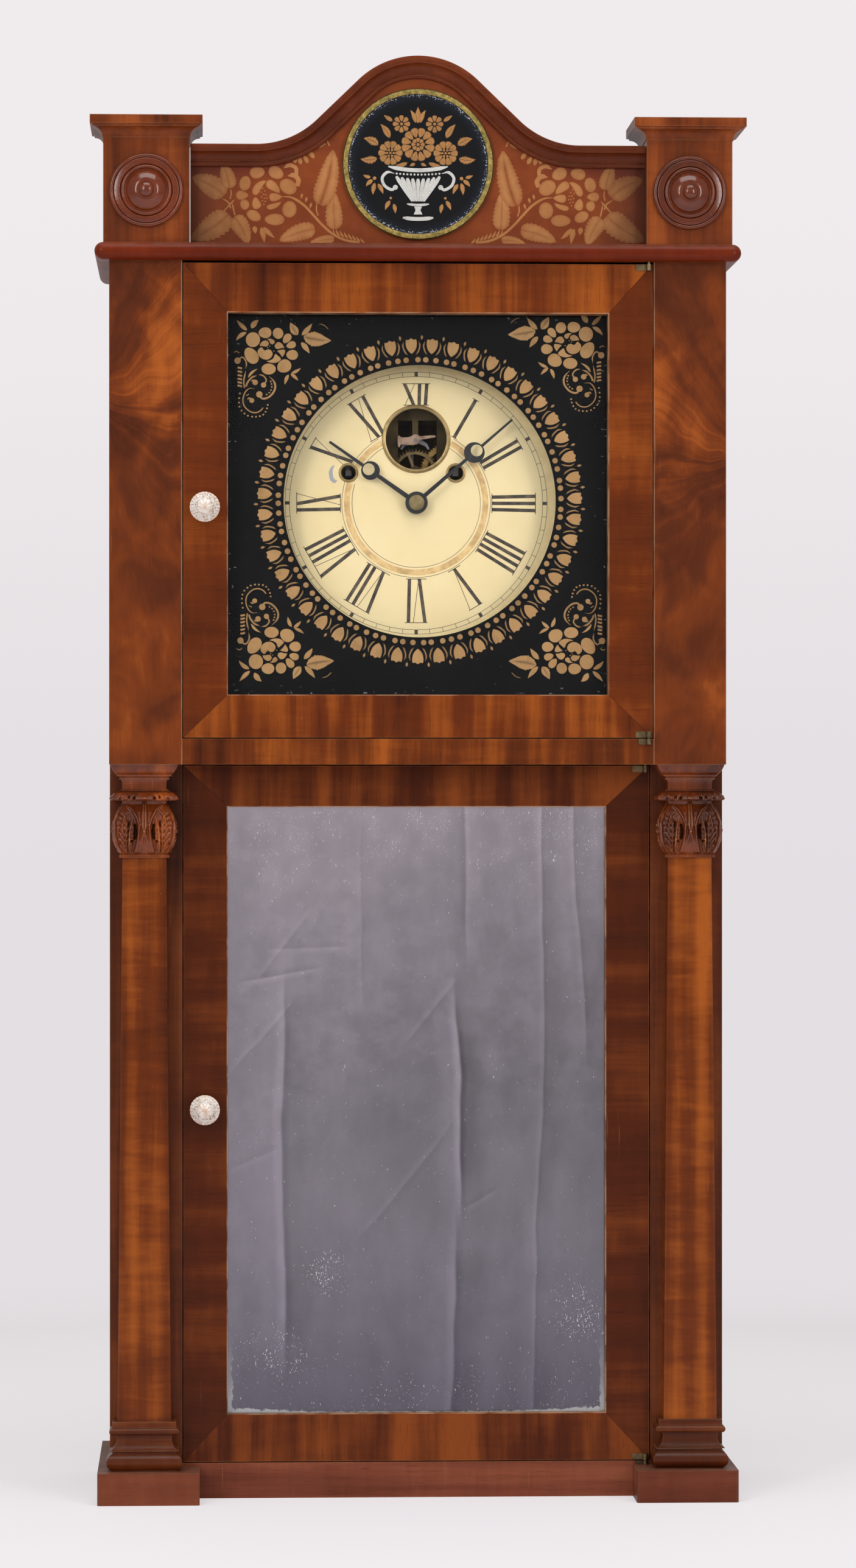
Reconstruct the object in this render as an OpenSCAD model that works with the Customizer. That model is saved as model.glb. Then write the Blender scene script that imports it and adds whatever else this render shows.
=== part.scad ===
/* [Case] */
// Width across the case sides
case_width = 424; // [412:1:436]
// Depth from the upper front face to the back
case_depth = 172; // [160:1:190]
// How far the knobs stand out of the upper front face
knob_reach = 22; // [18:1:26]
// How far the lower front stands behind the upper front
lower_setback = 28; // [26:1:30]
// Width of the front posts and stiles
post_width = 50; // [48:1:52]
// Depth of the upper posts and the middle rail
post_depth = 48; // [44:1:52]
// Thickness of the stiles, doors and base rail
stile_thick = 20; // [18:1:22]
// Thickness of the side, top and bottom boards
board_thick = 12; // [10:1:14]
// Thickness of the backboard
back_thick = 10; // [8:1:12]
// Height of the bottom board's underside
bottom_lift = 12; // [8:1:14]
// Height at which the columns end and the upper front starts
upper_start = 507; // [500:1:515]
// Height of the middle rail
mid_rail_height = 17.7; // [15:0.1:20]
// Top of the case sides
case_top = 852.5; // [845:0.5:860]
// Top of the rail under the lower door
base_rail_top = 24.5; // [24:0.5:28]

/* [Plinths] */
// Height of a plinth
plinth_height = 22; // [18:1:24]
// Width of a plinth
plinth_width = 70; // [66:1:74]
// How far a plinth stands out of the case side
plinth_side = 8; // [5:1:10]
// How far a plinth stands out of the upper front face
plinth_front = 8; // [4:1:10]
// Cut on a plinth's front corners
plinth_chamfer = 1.2; // [0.5:0.1:2]

/* [Columns] */
// Distance of a column's middle from the case side
column_inset = 24; // [23:1:25]
// Half width of the shaft at the foot
shaft_foot = 18.35; // [16:0.05:19]
// Half width of the shaft at the top
shaft_head = 15.2; // [13:0.1:15.6]
// Depth of the shaft at the foot
shaft_foot_depth = 19; // [16:1:20]
// Depth of the shaft at the top
shaft_head_depth = 16; // [13:1:17]
// Half width of the lowest roll of the base
base_roll = 26; // [25:0.5:26]
// Height of a column's base above its plinth
base_height = 33.5; // [30:0.5:36]
// Height of the capital with its abacus
capital_height = 64; // [60:1:66]
// Half width of the abacus
abacus_half = 23.3; // [22:0.1:24]
// Half width of the drooping leaves
leaf_half = 23.9; // [22:0.1:24.5]
// Half width of the carved bell
bell_half = 21.6; // [19:0.1:23]

/* [Cornice and crest] */
// Thickness of the cornice board
cornice_thick = 12; // [10:1:14]
// How far the cornice stands out of the case side
cornice_side = 10; // [8:1:12]
// How far the cornice stands out of the upper front face
cornice_front = 10; // [8:1:10]
// Width of a crest block
block_width = 59; // [56:1:59]
// How far a crest block stands out of the case side
block_over = 4; // [3:0.5:5]
// Depth of a crest block
block_depth = 56; // [50:1:60]
// Height of a crest block
block_height = 72; // [66:1:76]
// How far a crest block stands out of the upper front face
block_front = 3; // [1:1:4]
// How far a cap stands out of its block
cap_over = 9; // [7:1:9]
// Height of a cap's cove
cap_cove = 8.1; // [6:0.1:10]
// Thickness of a cap's slab
cap_slab = 6.4; // [5:0.1:8]
// Height of the crest above the cornice
crest_rise = 129.5; // [120:0.5:136]
// Height of the crest's straight shoulders above the cornice
shoulder_rise = 68.3; // [65:0.1:70]
// Gap between the crest and its blocks
crest_gap = 0.5; // [0.3:0.1:0.8]
// Radius of the crest's round top
crest_round = 59; // [55:1:60]
// Radius of the crest's hollow sweeps
crest_hollow = 60; // [58:1:62]
// Distance of the hollow sweeps' middles from the clock's middle
crest_sweep = 111.5; // [110:0.5:114]
// Thickness of the crest board
crest_thick = 12; // [10:1:14]
// How far the crest board stands behind the upper front face
crest_back = 9; // [6:1:12]
// Width of the crest's edge moulding
edge_width = 15; // [12:1:16]
// How far the edge moulding stands out of the crest board
edge_reach = 8.5; // [6:0.5:10]
// Radius of a rosette
rosette_r = 25.3; // [22:0.1:27]
// Height of a rosette's middle above the cornice
rosette_up = 35.5; // [31:0.5:40]
// Gap between the round picture and the cornice
roundel_low = 3.5; // [2:0.5:6]
// Gap between the round picture and the top of the crest
roundel_high = 22; // [18:1:26]
// Thickness of the round picture's rim
roundel_thick = 4; // [3:0.5:5]

/* [Doors] */
// Gap around a door
door_gap = 0.75; // [0.5:0.05:1]
// Width of a door's stiles in front
door_stile = 30.5; // [28:0.5:33]
// Height of the upper door's lower rail
upper_low_rail = 29.5; // [27:0.5:32]
// Height of the upper door's upper rail
upper_high_rail = 34; // [31:0.5:36]
// Height of the lower door's lower rail
lower_low_rail = 33; // [30:0.5:36]
// Height of the lower door's upper rail
lower_high_rail = 28.5; // [26:0.5:31]
// Width of the rebate behind the glass's edge
rebate = 4; // [3:0.5:5]
// Depth of the upper door's wood in front of the glass
glass_setback = 14; // [12:1:15]
// Depth of the lower door's wood in front of the mirror
mirror_setback = 6; // [5:1:8]
// Thickness of the glass
glass_thick = 2; // [1.8:0.1:2.5]
// Thickness of the mirror
mirror_thick = 3; // [2.5:0.1:4]
// Thickness of the board behind the mirror
mirror_board = 5; // [4:0.5:6]
// Thickness of the painted ground behind the glass
paint_thick = 0.3; // [0.2:0.05:0.4]
// Radius of the clear round in the painted ground
clear_round = 93; // [88:1:98]
// Distance of the hinge pins from the inner face of the posts
hinge_inset = 3.5; // [3:0.1:4]
// How far the hinge pins stand in front of their door
hinge_reach = 2.2; // [2.1:0.05:2.4]
// Radius of a hinge pin
hinge_pin_r = 1; // [0.8:0.05:1.2]
// Radius of a hinge barrel
hinge_barrel_r = 1.9; // [1.8:0.05:2]
// Height of a hinge barrel
hinge_barrel = 4.3; // [3.5:0.1:5]
// Running clearance of pins and arbors
run_fit = 0.05; // [0.03:0.01:0.08]

/* [Knobs and latches] */
// Radius of a glass knob
knob_r = 10.4; // [9:0.1:12]
// Distance of a knob from the edge of its door
knob_inset = 14.75; // [13:0.25:16]
// Height of the upper knob
upper_knob_z = 683; // [670:1:700]
// Height of the lower knob
lower_knob_z = 269; // [260:1:280]
// Radius of a knob's spindle
spindle_r = 2; // [1.8:0.1:2.4]
// Length of a latch from its spindle to its tip
latch_length = 20; // [19:0.5:21]
// Width of a latch
latch_width = 7; // [5:0.5:8]
// Thickness of a latch
latch_thick = 1.6; // [1.2:0.1:2]

/* [Dial and hands] */
// Height of the hands' middle
centre_z = 688.5; // [688.5:0.1:688.5]
// How far the dial stands behind the upper front face
dial_setback = 38; // [36:1:40]
// Thickness of the dial plate
dial_thick = 0.8; // [0.6:0.1:1]
// Gap between the dial plate and the posts
dial_gap = 4; // [2:0.5:7]
// Height of the dial plate's lower edge above the middle rail
dial_lift = 15.3; // [12:0.1:20]
// Gap between the dial plate and the top board
dial_head = 2.5; // [1:0.5:5]
// Width and depth of the dial battens
batten = 12; // [10:1:14]
// Radius of the round window over the escape wheel
window_r = 21.8; // [20:0.1:23]
// Radius of a winding hole
wind_hole_r = 5; // [4.5:0.1:5.5]
// Length of the minute hand
minute_length = 88; // [84:1:90]
// Length of the hour hand
hour_length = 73.6; // [70:0.2:76]
// Direction of the minute hand, clockwise from the top
minute_angle = 49; // [0:1:359]
// Direction of the hour hand, clockwise from the top
hour_angle = 305; // [0:1:359]
// Thickness of a hand
hand_thick = 0.6; // [0.5:0.1:0.8]
// Radius of the hands' hub
hub_r = 7.7; // [7:0.1:8.5]
// Distance of the minute hand's ring from the centre
minute_ring_at = 53; // [50:1:56]
// Radius of the minute hand's ring
minute_ring_r = 7.2; // [6.5:0.1:8]
// Distance of the hour hand's ring from the centre
hour_ring_at = 38.9; // [37:0.1:41]
// Radius of the hour hand's ring
hour_ring_r = 6.5; // [6:0.1:7]
// Radius of the eye in a hand's ring
eye_r = 4.1; // [3.5:0.1:4.4]

/* [Movement] */
// Distance from the dial's back to the front plate
motion_gap = 15.2; // [15:0.1:17]
// Thickness of the brass plates
plate_thick = 1.6; // [1.4:0.1:2]
// Distance between the plates
plate_gap = 45.4; // [44:0.1:47]
// Radius of a wheel's arbor
arbor_r = 1.2; // [1:0.1:1.4]
// Radius of a drum's arbor
drum_arbor_r = 3; // [2.6:0.1:3.2]
// Module of the great wheels
great_module = 0.66; // [0.66:0.01:0.66]
// Radius of a drum
drum_r = 11.2; // [10:0.1:11.3]
// Radius at which the cord leaves a drum
wound_r = 12.5; // [12.5:0.1:12.8]
// Radius of the escape wheel's teeth
escape_r = 17; // [16:0.1:17.2]
// Number of teeth on the escape wheel
escape_teeth = 42; // [30:1:42]
// Thickness of a wheel
wheel_thick = 1.4; // [1:0.1:1.6]
// Half width of the anchor's span
pallet_x = 9.05; // [8.8:0.05:9.4]

/* [Pendulum, weights and bell] */
// Height of the pendulum bob's middle
bob_z = 226; // [210:1:300]
// Radius of the pendulum bob
bob_r = 36; // [30:1:40]
// Thickness of the pendulum bob
bob_thick = 14; // [10:1:16]
// Radius of the pendulum rod
rod_r = 1.1; // [0.9:0.1:1.2]
// Radius of a weight
weight_r = 26; // [22:1:28]
// Length of a weight
weight_length = 185; // [150:5:200]
// Height at which a run-down weight hangs
weight_low = 30; // [28:1:40]
// Radius at which the cord runs over its pulley
pulley_cord_r = 15.8; // [15:0.1:16.5]
// Distance of the pulleys from the side boards
pulley_inset = 50; // [48:1:52]
// Distance of the pulleys from the top board
pulley_drop = 22.5; // [20:0.5:28]
// Radius of the cord
cord_r = 0.8; // [0.6:0.1:1]
// Radius of the bell
bell_r = 36; // [30:1:38]

/* [Hidden] */
half_case = case_width / 2;
half_door = half_case - post_width;
face_y = knob_reach - (case_depth + knob_reach) / 2;
back_y = face_y + case_depth;
lower_y = face_y + lower_setback;
post_back = face_y + post_depth;
inner_back = back_y - back_thick;
inner_half = half_case - board_thick;
cornice_top = case_top + cornice_thick;
cornice_half = half_case + cornice_side;
column_x = half_case - column_inset;
crest_half = half_case + block_over - block_width - crest_gap;
crest_top = cornice_top + crest_rise;
crest_shoulder = cornice_top + shoulder_rise;
rosette_z = cornice_top + rosette_up;
roundel_r = (crest_rise - roundel_low - roundel_high) / 2;
roundel_z = cornice_top + roundel_low + roundel_r;
upper_door_low = upper_start + mid_rail_height + door_gap;
upper_door_high = case_top - 2 * door_gap;
lower_door_low = base_rail_top + door_gap;
lower_door_high = upper_start - door_gap;
door_half = half_door - door_gap;
hinge_x = half_door - hinge_inset;
knob_x = door_half - knob_inset;
dial_half = half_door - dial_gap;
dial_low = upper_start + mid_rail_height + dial_lift;
dial_high = case_top - board_thick - dial_head;
pulley_x = inner_half - pulley_inset;
pulley_z = case_top - board_thick - pulley_drop;
glass_half = door_half - door_stile;
dial_y = face_y + dial_setback;
dial_back = dial_y + dial_thick;
plate_y = dial_back + motion_gap;
inside_y = plate_y + plate_thick;
rear_y = inside_y + plate_gap;
block_mid = half_case + block_over - block_width / 2;
block_y = face_y - block_front;
crest_y = face_y + crest_back;
crest_flat = crest_half - crest_sweep;
hollow_at = [-crest_sweep, crest_shoulder + crest_hollow];
round_at = [0, crest_top - crest_round];
crest_slope = aim(hollow_at, round_at)
    + asin((crest_hollow + crest_round) / norm(round_at - hollow_at));
centre = [0, centre_z];
wind_right = [27.5, 709.5];
wind_left = [-47, 709.5];
escape_at = [0, 711];
verge_at = [0, 733];
second_at = [19.56, 684.3];
third_at = [-15.7, 700.9];
minute_at = [0, 676.5];
hammer_at = [-62, 668];
bell_at = [-70, 600];
head_at = [-113.5, 602];
cord_y = inside_y + 26.4;
pendulum_y = rear_y + plate_thick + 8.4;
wood = [0.36, 0.14, 0.07];
dark_wood = [0.27, 0.09, 0.05];
pine = [0.55, 0.38, 0.22];
brass_colour = [0.72, 0.55, 0.25];
steel_colour = [0.35, 0.36, 0.38];
glass_colour = [0.75, 0.7, 0.7];
black = [0.05, 0.05, 0.06];
cream = [0.9, 0.84, 0.66];
gilt = [0.62, 0.46, 0.2];
iron = [0.15, 0.15, 0.16];
cord_colour = [0.6, 0.5, 0.35];

function arc(c, r, a0, a1, n) =
    [for (i = [0 : n]) let(a = a0 + (a1 - a0) * i / n) [c[0] + r * cos(a), c[1] + r * sin(a)]];
function backwards(p) = [for (i = [1 : len(p)]) p[len(p) - i]];
function aim(a, b) = atan2(b[1] - a[1], b[0] - a[0]);
function ring_of(n, m, up, down, tip, root, phase) =
    [for (i = [0 : n - 1], k = [0 : 3])
        let(r = n * m / 2 + ((k == 0 || k == 3) ? -down : up) * m,
            w = (k == 0 ? -root : k == 1 ? -tip : k == 2 ? tip : root),
            a = phase + (i + w) * 360 / n)
        [r * cos(a), r * sin(a)]];
function wheel_ring(n, m, phase) = ring_of(n, m, 0.8, 1, 0.09, 0.25, phase);
function leaf_ring(n, m, phase) = ring_of(n, m, 0.6, 1.15, 0.12, 0.2, phase);
function flip_phase(a, n) = a + 180 + 180 / n;

module box(x0, x1, y0, y1, z0, z1) {
    translate([x0, y0, z0]) cube([x1 - x0, y1 - y0, z1 - z0]);
}

module both_sides() {
    children();
    mirror([1, 0, 0]) children();
}

// A flat shape in x and z, from y0 back by t
module slice(y0, t) {
    translate([0, y0 + t, 0]) rotate([90, 0, 0]) linear_extrude(height = t) children();
}

// A flat shape in y and z, from x0 to the right by t
module side_slice(x0, t) {
    translate([x0, 0, 0]) rotate([90, 0, 90]) linear_extrude(height = t) children();
}

// A profile of radius and height, turned about a line to the front
module turned(at, y0) {
    translate([at[0], y0, at[1]]) rotate([90, 0, 0]) rotate_extrude($fn = 96) children();
}

module rod(at, r, y0, y1) {
    translate([at[0], y1, at[1]]) rotate([90, 0, 0]) cylinder(r = r, h = y1 - y0, $fn = 48);
}

module tube(at, r, hole, y0, y1) {
    difference() {
        rod(at, r, y0, y1);
        rod(at, hole, y0 - 1, y1 + 1);
    }
}

// Mouldings on a block that stands against a wall: profile rows are half width and height
module mitred(x, rows, wide, deep) {
    far = deep + 20;
    intersection() {
        slice(lower_y - far, far)
            polygon(concat([for (p = rows) [x + p[0], p[1]]],
                backwards([for (p = rows) [x - p[0], p[1]]])));
        side_slice(x - 40, 80)
            polygon(concat([for (p = rows) [lower_y - deep - p[0] + wide, p[1]]],
                [[lower_y, rows[len(rows) - 1][1]], [lower_y, rows[0][1]]]));
    }
}

// A wheel rim with crossings, its ring given as points
module crossed(points, rim_in, hub, at) {
    translate(at) difference() {
        polygon(points);
        difference() {
            circle(r = rim_in, $fn = 72);
            circle(r = hub, $fn = 36);
            for (a = [0 : 90 : 179]) rotate(a + 20) square([3 * rim_in, 1.8], center = true);
        }
    }
}

module backboard() {
    color(pine) box(-half_case, half_case, inner_back, back_y, 0, case_top);
}

module side_boards() {
    color(wood) both_sides() box(inner_half, half_case, post_back, inner_back, 0, case_top);
}

module case_boards() {
    color(pine) {
        box(-inner_half, inner_half, post_back, inner_back, case_top - board_thick, case_top);
        box(-inner_half, inner_half, post_back, inner_back, bottom_lift,
            bottom_lift + board_thick);
    }
}

module upper_posts() {
    color(wood) {
        box(half_door, half_case, face_y, post_back, upper_start, case_top);
        difference() {
            box(-half_case, -half_door, face_y, post_back, upper_start, case_top);
            box(-half_door - 8, -half_door + 1, face_y + stile_thick, face_y + stile_thick + 4,
                upper_knob_z - latch_length + 4, upper_knob_z + latch_width);
        }
    }
}

module lower_stiles() {
    color(wood) both_sides()
        box(half_door, half_case, lower_y, post_back, 0, upper_start);
}

module front_rails() {
    color(wood) {
        box(-half_door, half_door, face_y, post_back, upper_start,
            upper_start + mid_rail_height);
        box(-half_door, half_door, lower_y, post_back, 0, base_rail_top);
    }
}

module plinths() {
    outer = half_case + plinth_side;
    inner = outer - plinth_width;
    front = face_y - plinth_front;
    color(dark_wood) both_sides() linear_extrude(height = plinth_height)
        polygon([[inner + plinth_chamfer, front], [outer - plinth_chamfer, front],
            [outer, front + plinth_chamfer], [outer, back_y], [half_case, back_y],
            [half_case, lower_y], [inner, lower_y], [inner, front + plinth_chamfer]]);
}

module column_bases() {
    z = plinth_height;
    top = z + base_height;
    rows = concat([[base_roll - 2, z]],
        arc([base_roll - 5.8, z + 6], 5.8, -60, 60, 8),
        [[21.9, z + 12.2], [21.9, z + 13.6]],
        arc([27.5, z + 21.5], 8.6, 244, 172, 6),
        [[19.4, z + 24.6]],
        arc([21.6, z + 27], 2.4, -90, 90, 6),
        [[21.9, z + 29.6], [21.9, top]]);
    color(wood) both_sides() mitred(column_x, rows, shaft_foot, shaft_foot_depth);
}

module column_shafts() {
    z0 = plinth_height + base_height;
    z1 = upper_start - capital_height;
    front0 = lower_y - shaft_foot_depth;
    front1 = lower_y - shaft_head_depth;
    color(wood) both_sides() intersection() {
        slice(lower_y - 2 * shaft_foot_depth, 2 * shaft_foot_depth)
            polygon([[column_x - shaft_foot, z0], [column_x + shaft_foot, z0],
                [column_x + shaft_head, z1], [column_x - shaft_head, z1]]);
        side_slice(column_x - 2 * shaft_foot, 4 * shaft_foot)
            polygon([[lower_y, z0], [front0, z0], [front1, z1], [lower_y, z1]]);
    }
}

module column_capitals() {
    z = upper_start - capital_height;
    top = upper_start;
    rows = concat([[17.1, z], [17.1, z + 2], [16.5, z + 2.2], [18.6, z + 8],
            [20.6, z + 15], [bell_half, z + 22], [21, z + 28], [18.8, z + 34],
            [15.6, z + 39], [leaf_half - 1, z + 39.3], [leaf_half, z + 40.6],
            [22.4, z + 43.4], [19.4, z + 46], [shaft_head, z + 47.5],
            [shaft_head, top - 12], [16.6, top - 10.4], [17.4, top - 10.2],
            [17.4, top - 8.6]],
        arc([24.6, top - 8.6], 6, 160, 102, 5),
        [[abacus_half, top - 1.6], [abacus_half, top]]);
    color(wood) both_sides() mitred(column_x, rows, shaft_head, shaft_head_depth);
}

module cornice() {
    r = cornice_thick / 2;
    x = cornice_half - r;
    front = face_y - cornice_front + r;
    z = case_top + r;
    color(dark_wood) union() {
        box(-x, x, front, back_y, case_top, cornice_top);
        translate([-x, front, z]) rotate([0, 90, 0]) cylinder(r = r, h = 2 * x, $fn = 48);
        both_sides() {
            rod([x, z], r, front, back_y);
            translate([x, front, z]) sphere(r = r, $fn = 48);
        }
    }
}

module crest_blocks() {
    x0 = block_mid - block_width / 2;
    x1 = block_mid + block_width / 2;
    y1 = block_y + block_depth;
    cove = cornice_top + block_height;
    slab = cove + cap_cove;
    ym = block_y + block_depth / 2;
    rows = concat([[0, cove]],
        arc([cap_over - 1.5, cove], cap_cove - 1.2, 180, 96, 8),
        [[cap_over - 1.5, slab], [cap_over, slab + 0.4], [cap_over, slab + cap_slab]]);
    color(wood) both_sides() {
        box(x0, x1, block_y, y1, cornice_top, cove);
        intersection() {
            slice(block_y - 20, block_depth + 40)
                polygon(concat([for (p = rows) [x1 + p[0], p[1]]],
                    backwards([for (p = rows) [x0 - p[0], p[1]]])));
            side_slice(x0 - 20, block_width + 40)
                polygon(concat([for (p = rows) [y1 + p[0], p[1]]],
                    backwards([for (p = rows) [block_y - p[0], p[1]]])));
        }
    }
}

module rosettes() {
    color(dark_wood) both_sides() turned([block_mid, rosette_z], block_y)
        polygon(concat([[0, 0], [rosette_r, 0], [rosette_r, 3]],
            arc([rosette_r - 2.4, 3], 2.4, 0, 150, 6),
            [[17.4, 3.2], [16.8, 5]],
            arc([14.6, 5], 2.2, 20, 165, 5),
            [[11.6, 3.4], [9.6, 3.4], [9, 5.4], [7, 7.6], [4.4, 8.8], [2.4, 9.2],
            [2, 10.4], [0, 10.9]]));
}

// The crest's outline, left to right
module crest_outline() {
    sweep = arc(hollow_at, crest_hollow, -90, crest_slope - 90, 20);
    polygon(concat([[-crest_half, cornice_top], [-crest_half, crest_shoulder]], sweep,
        arc(round_at, crest_round, 90 + crest_slope, 90 - crest_slope, 40),
        backwards([for (p = sweep) [-p[0], p[1]]]),
        [[crest_half, crest_shoulder], [crest_half, cornice_top]]));
}

module crest_panel() {
    color(wood) slice(crest_y, crest_thick) crest_outline();
}

function edge_rows(base, way) = [for (p = [[0, 0], [edge_width, 0], [edge_width, 1.8],
    [edge_width - 0.6, 2.8], [edge_width - 1.8, 3.2], [edge_width - 3, 2.6],
    [edge_width - 3.4, 2], [edge_width - 6, 2.4], [edge_width - 9, 4],
    [edge_width - 11.4, 6.8], [2.6, edge_reach - 1], [2.2, edge_reach], [0, edge_reach]])
    [base + way * p[0], p[1]]];

// The edge moulding is glued on in seven lengths, with fine joints between them
module crest_moulding() {
    seam = 0.05;
    c = cos(crest_slope);
    s = sin(crest_slope);
    low = hollow_at + crest_hollow * [s, -c];
    high = round_at + crest_round * [-s, c];
    run = norm(high - low);
    color(dark_wood) {
        translate([round_at[0], crest_y, round_at[1]]) rotate([90, 0, 0])
            rotate([0, 0, 90 - crest_slope])
            rotate_extrude(angle = 2 * crest_slope, $fn = 180)
            polygon(edge_rows(crest_round, -1));
        both_sides() {
            translate([hollow_at[0], crest_y, hollow_at[1]]) rotate([90, 0, 0])
                rotate([0, 0, -90]) rotate_extrude(angle = crest_slope, $fn = 180)
                polygon(edge_rows(crest_hollow, 1));
            translate([low[0], crest_y, low[1]]) rotate([0, -crest_slope, 0])
                side_slice(seam, run - 2 * seam)
                polygon([for (p = edge_rows(0, -1)) [-p[1], p[0]]]);
            translate([-crest_half, crest_y, crest_shoulder])
                side_slice(0, crest_flat - seam)
                polygon([for (p = edge_rows(0, -1)) [-p[1], p[0]]]);
        }
    }
}

module crest_roundel() {
    color(gilt) turned([0, roundel_z], crest_y)
        polygon([[0, 0], [roundel_r, 0], [roundel_r, roundel_thick - 1],
            [roundel_r - 1, roundel_thick], [roundel_r - 4, roundel_thick],
            [roundel_r - 5, roundel_thick - 1], [0, roundel_thick - 1]]);
}

module dial_plate() {
    color(cream) slice(dial_y, dial_thick) difference() {
        translate([-dial_half, dial_low]) square([2 * dial_half, dial_high - dial_low]);
        translate(verge_at) circle(r = window_r, $fn = 96);
        for (at = [wind_left, wind_right]) translate(at) circle(r = wind_hole_r, $fn = 48);
        translate(centre) circle(r = 4.4, $fn = 48);
    }
}

module dial_battens() {
    color(pine) both_sides()
        box(half_door - batten, half_door, dial_back, dial_back + batten,
            upper_start + mid_rail_height, case_top - board_thick);
}

module dial_bezels() {
    color(brass_colour) {
        turned(verge_at, dial_y)
            polygon([[window_r - 0.6, -dial_thick], [window_r - 0.02, -dial_thick],
                [window_r - 0.02, 0], [window_r + 2, 0], [window_r + 1.6, 1],
                [window_r + 0.4, 1.5], [window_r - 0.6, 1.2]]);
        for (at = [wind_left, wind_right]) turned(at, dial_y)
            polygon([[wind_hole_r, 0], [wind_hole_r + 1.8, 0], [wind_hole_r + 1.5, 0.7],
                [wind_hole_r + 0.4, 0.9], [wind_hole_r, 0.6]]);
    }
}

// A pin hanging from the wood above a door
module top_pin(z, y) {
    translate([hinge_x, y, z - hinge_barrel - 1.2])
        cylinder(r = hinge_pin_r, h = hinge_barrel + 1.2, $fn = 32);
}

// A bracket on the wood under a door, with its pin
module low_bracket(z, y, wall, tall) {
    union() {
        translate([hinge_x, y, z - tall]) cylinder(r = hinge_barrel_r, h = tall, $fn = 32);
        translate([hinge_x, y, z - 0.5])
            cylinder(r = hinge_pin_r, h = hinge_barrel + 0.9, $fn = 32);
        box(hinge_x - 7, hinge_x + hinge_barrel_r, wall - 1, wall, z - tall, z);
        box(hinge_x - hinge_barrel_r, hinge_x + hinge_barrel_r, y, wall, z - tall, z);
    }
}

module case_hinges() {
    color(brass_colour) {
        top_pin(case_top, face_y - hinge_reach);
        top_pin(upper_start, lower_y - hinge_reach);
        low_bracket(upper_door_low - door_gap, face_y - hinge_reach, face_y, 4);
        low_bracket(base_rail_top, lower_y - hinge_reach, lower_y,
            base_rail_top - plinth_height - 0.1);
    }
}

// A barrel with its strap on a door
module door_barrel(z, y, wall) {
    difference() {
        union() {
            translate([hinge_x, y, z]) cylinder(r = hinge_barrel_r, h = hinge_barrel, $fn = 32);
            box(hinge_x - 9, hinge_x, wall - 0.9, wall, z, z + hinge_barrel);
        }
        translate([hinge_x, y, z - 1])
            cylinder(r = hinge_pin_r + run_fit, h = hinge_barrel + 2, $fn = 32);
    }
}

module plate_shape() {
    difference() {
        union() {
            for (s = [[-80, -71, 655, 756], [51, 60, 655, 756], [-80, 60, 747, 756],
                [-80, 60, 655, 664], [-24, -12, 655, 756], [15, 26, 655, 756],
                [-80, 60, 704.5, 713.5], [-24, 26, 684, 693], [-4, 4, 655, 690],
                [-2, 2, 731, 750]])
                translate([s[0], s[2]]) square([s[1] - s[0], s[3] - s[2]]);
            for (s = [[wind_left, 8], [wind_right, 8], [centre, 6], [second_at, 5],
                [third_at, 5], [escape_at, 4.2], [minute_at, 4.5], [hammer_at, 5],
                [verge_at, 3]])
                translate(s[0]) circle(r = s[1], $fn = 48);
        }
        for (at = [wind_left, wind_right])
            translate(at) circle(r = drum_arbor_r + run_fit, $fn = 48);
        for (at = [centre, second_at, third_at, escape_at, verge_at, hammer_at])
            translate(at) circle(r = arbor_r + run_fit, $fn = 32);
    }
}

module front_plate() {
    color(brass_colour) union() {
        slice(plate_y, plate_thick) plate_shape();
        rod(minute_at, arbor_r, plate_y - 9, plate_y);
    }
}

module back_plate() {
    far = rear_y + plate_thick;
    color(brass_colour) union() {
        slice(rear_y, plate_thick) plate_shape();
        for (at = [[-75, 660], [55, 660], [-60, 751], [40, 751]])
            rod(at, 3.2, inside_y, rear_y);
        for (at = [[-75.5, 700], [55, 660], [-60, 751], [40, 751]])
            rod(at, 4, far, inner_back);
        box(-4, 4, far, pendulum_y + 6, verge_at[1] + 15, verge_at[1] + 21);
        box(-4, 4, pendulum_y + 4, pendulum_y + 6, verge_at[1] - 4, verge_at[1] + 16);
        rod(verge_at, 1.5, pendulum_y - 2.5, pendulum_y + 4.5);
    }
}

module bell() {
    color(iron) union() {
        turned(bell_at, inner_back - 12)
            polygon([[bell_r, 0], [bell_r - 1.5, 7], [bell_r * 0.78, 14],
                [bell_r * 0.45, 19.5], [0, 22], [0, 19.4], [bell_r * 0.43, 17],
                [bell_r * 0.74, 12], [bell_r - 4, 6], [bell_r - 2.6, 0]]);
        rod(bell_at, 2.5, inner_back - 35.5, inner_back);
        rod(bell_at, 5, inner_back - 3, inner_back);
    }
}

module pulley_brackets() {
    low = pulley_z - 6;
    color(brass_colour) both_sides() union() {
        for (y = [cord_y - 5.8, cord_y + 4.2])
            box(pulley_x - 5, pulley_x + 5, y, y + 1.6, low, case_top - board_thick);
        rod([pulley_x, pulley_z], 1.5, cord_y - 5.8, cord_y + 5.8);
    }
}

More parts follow.
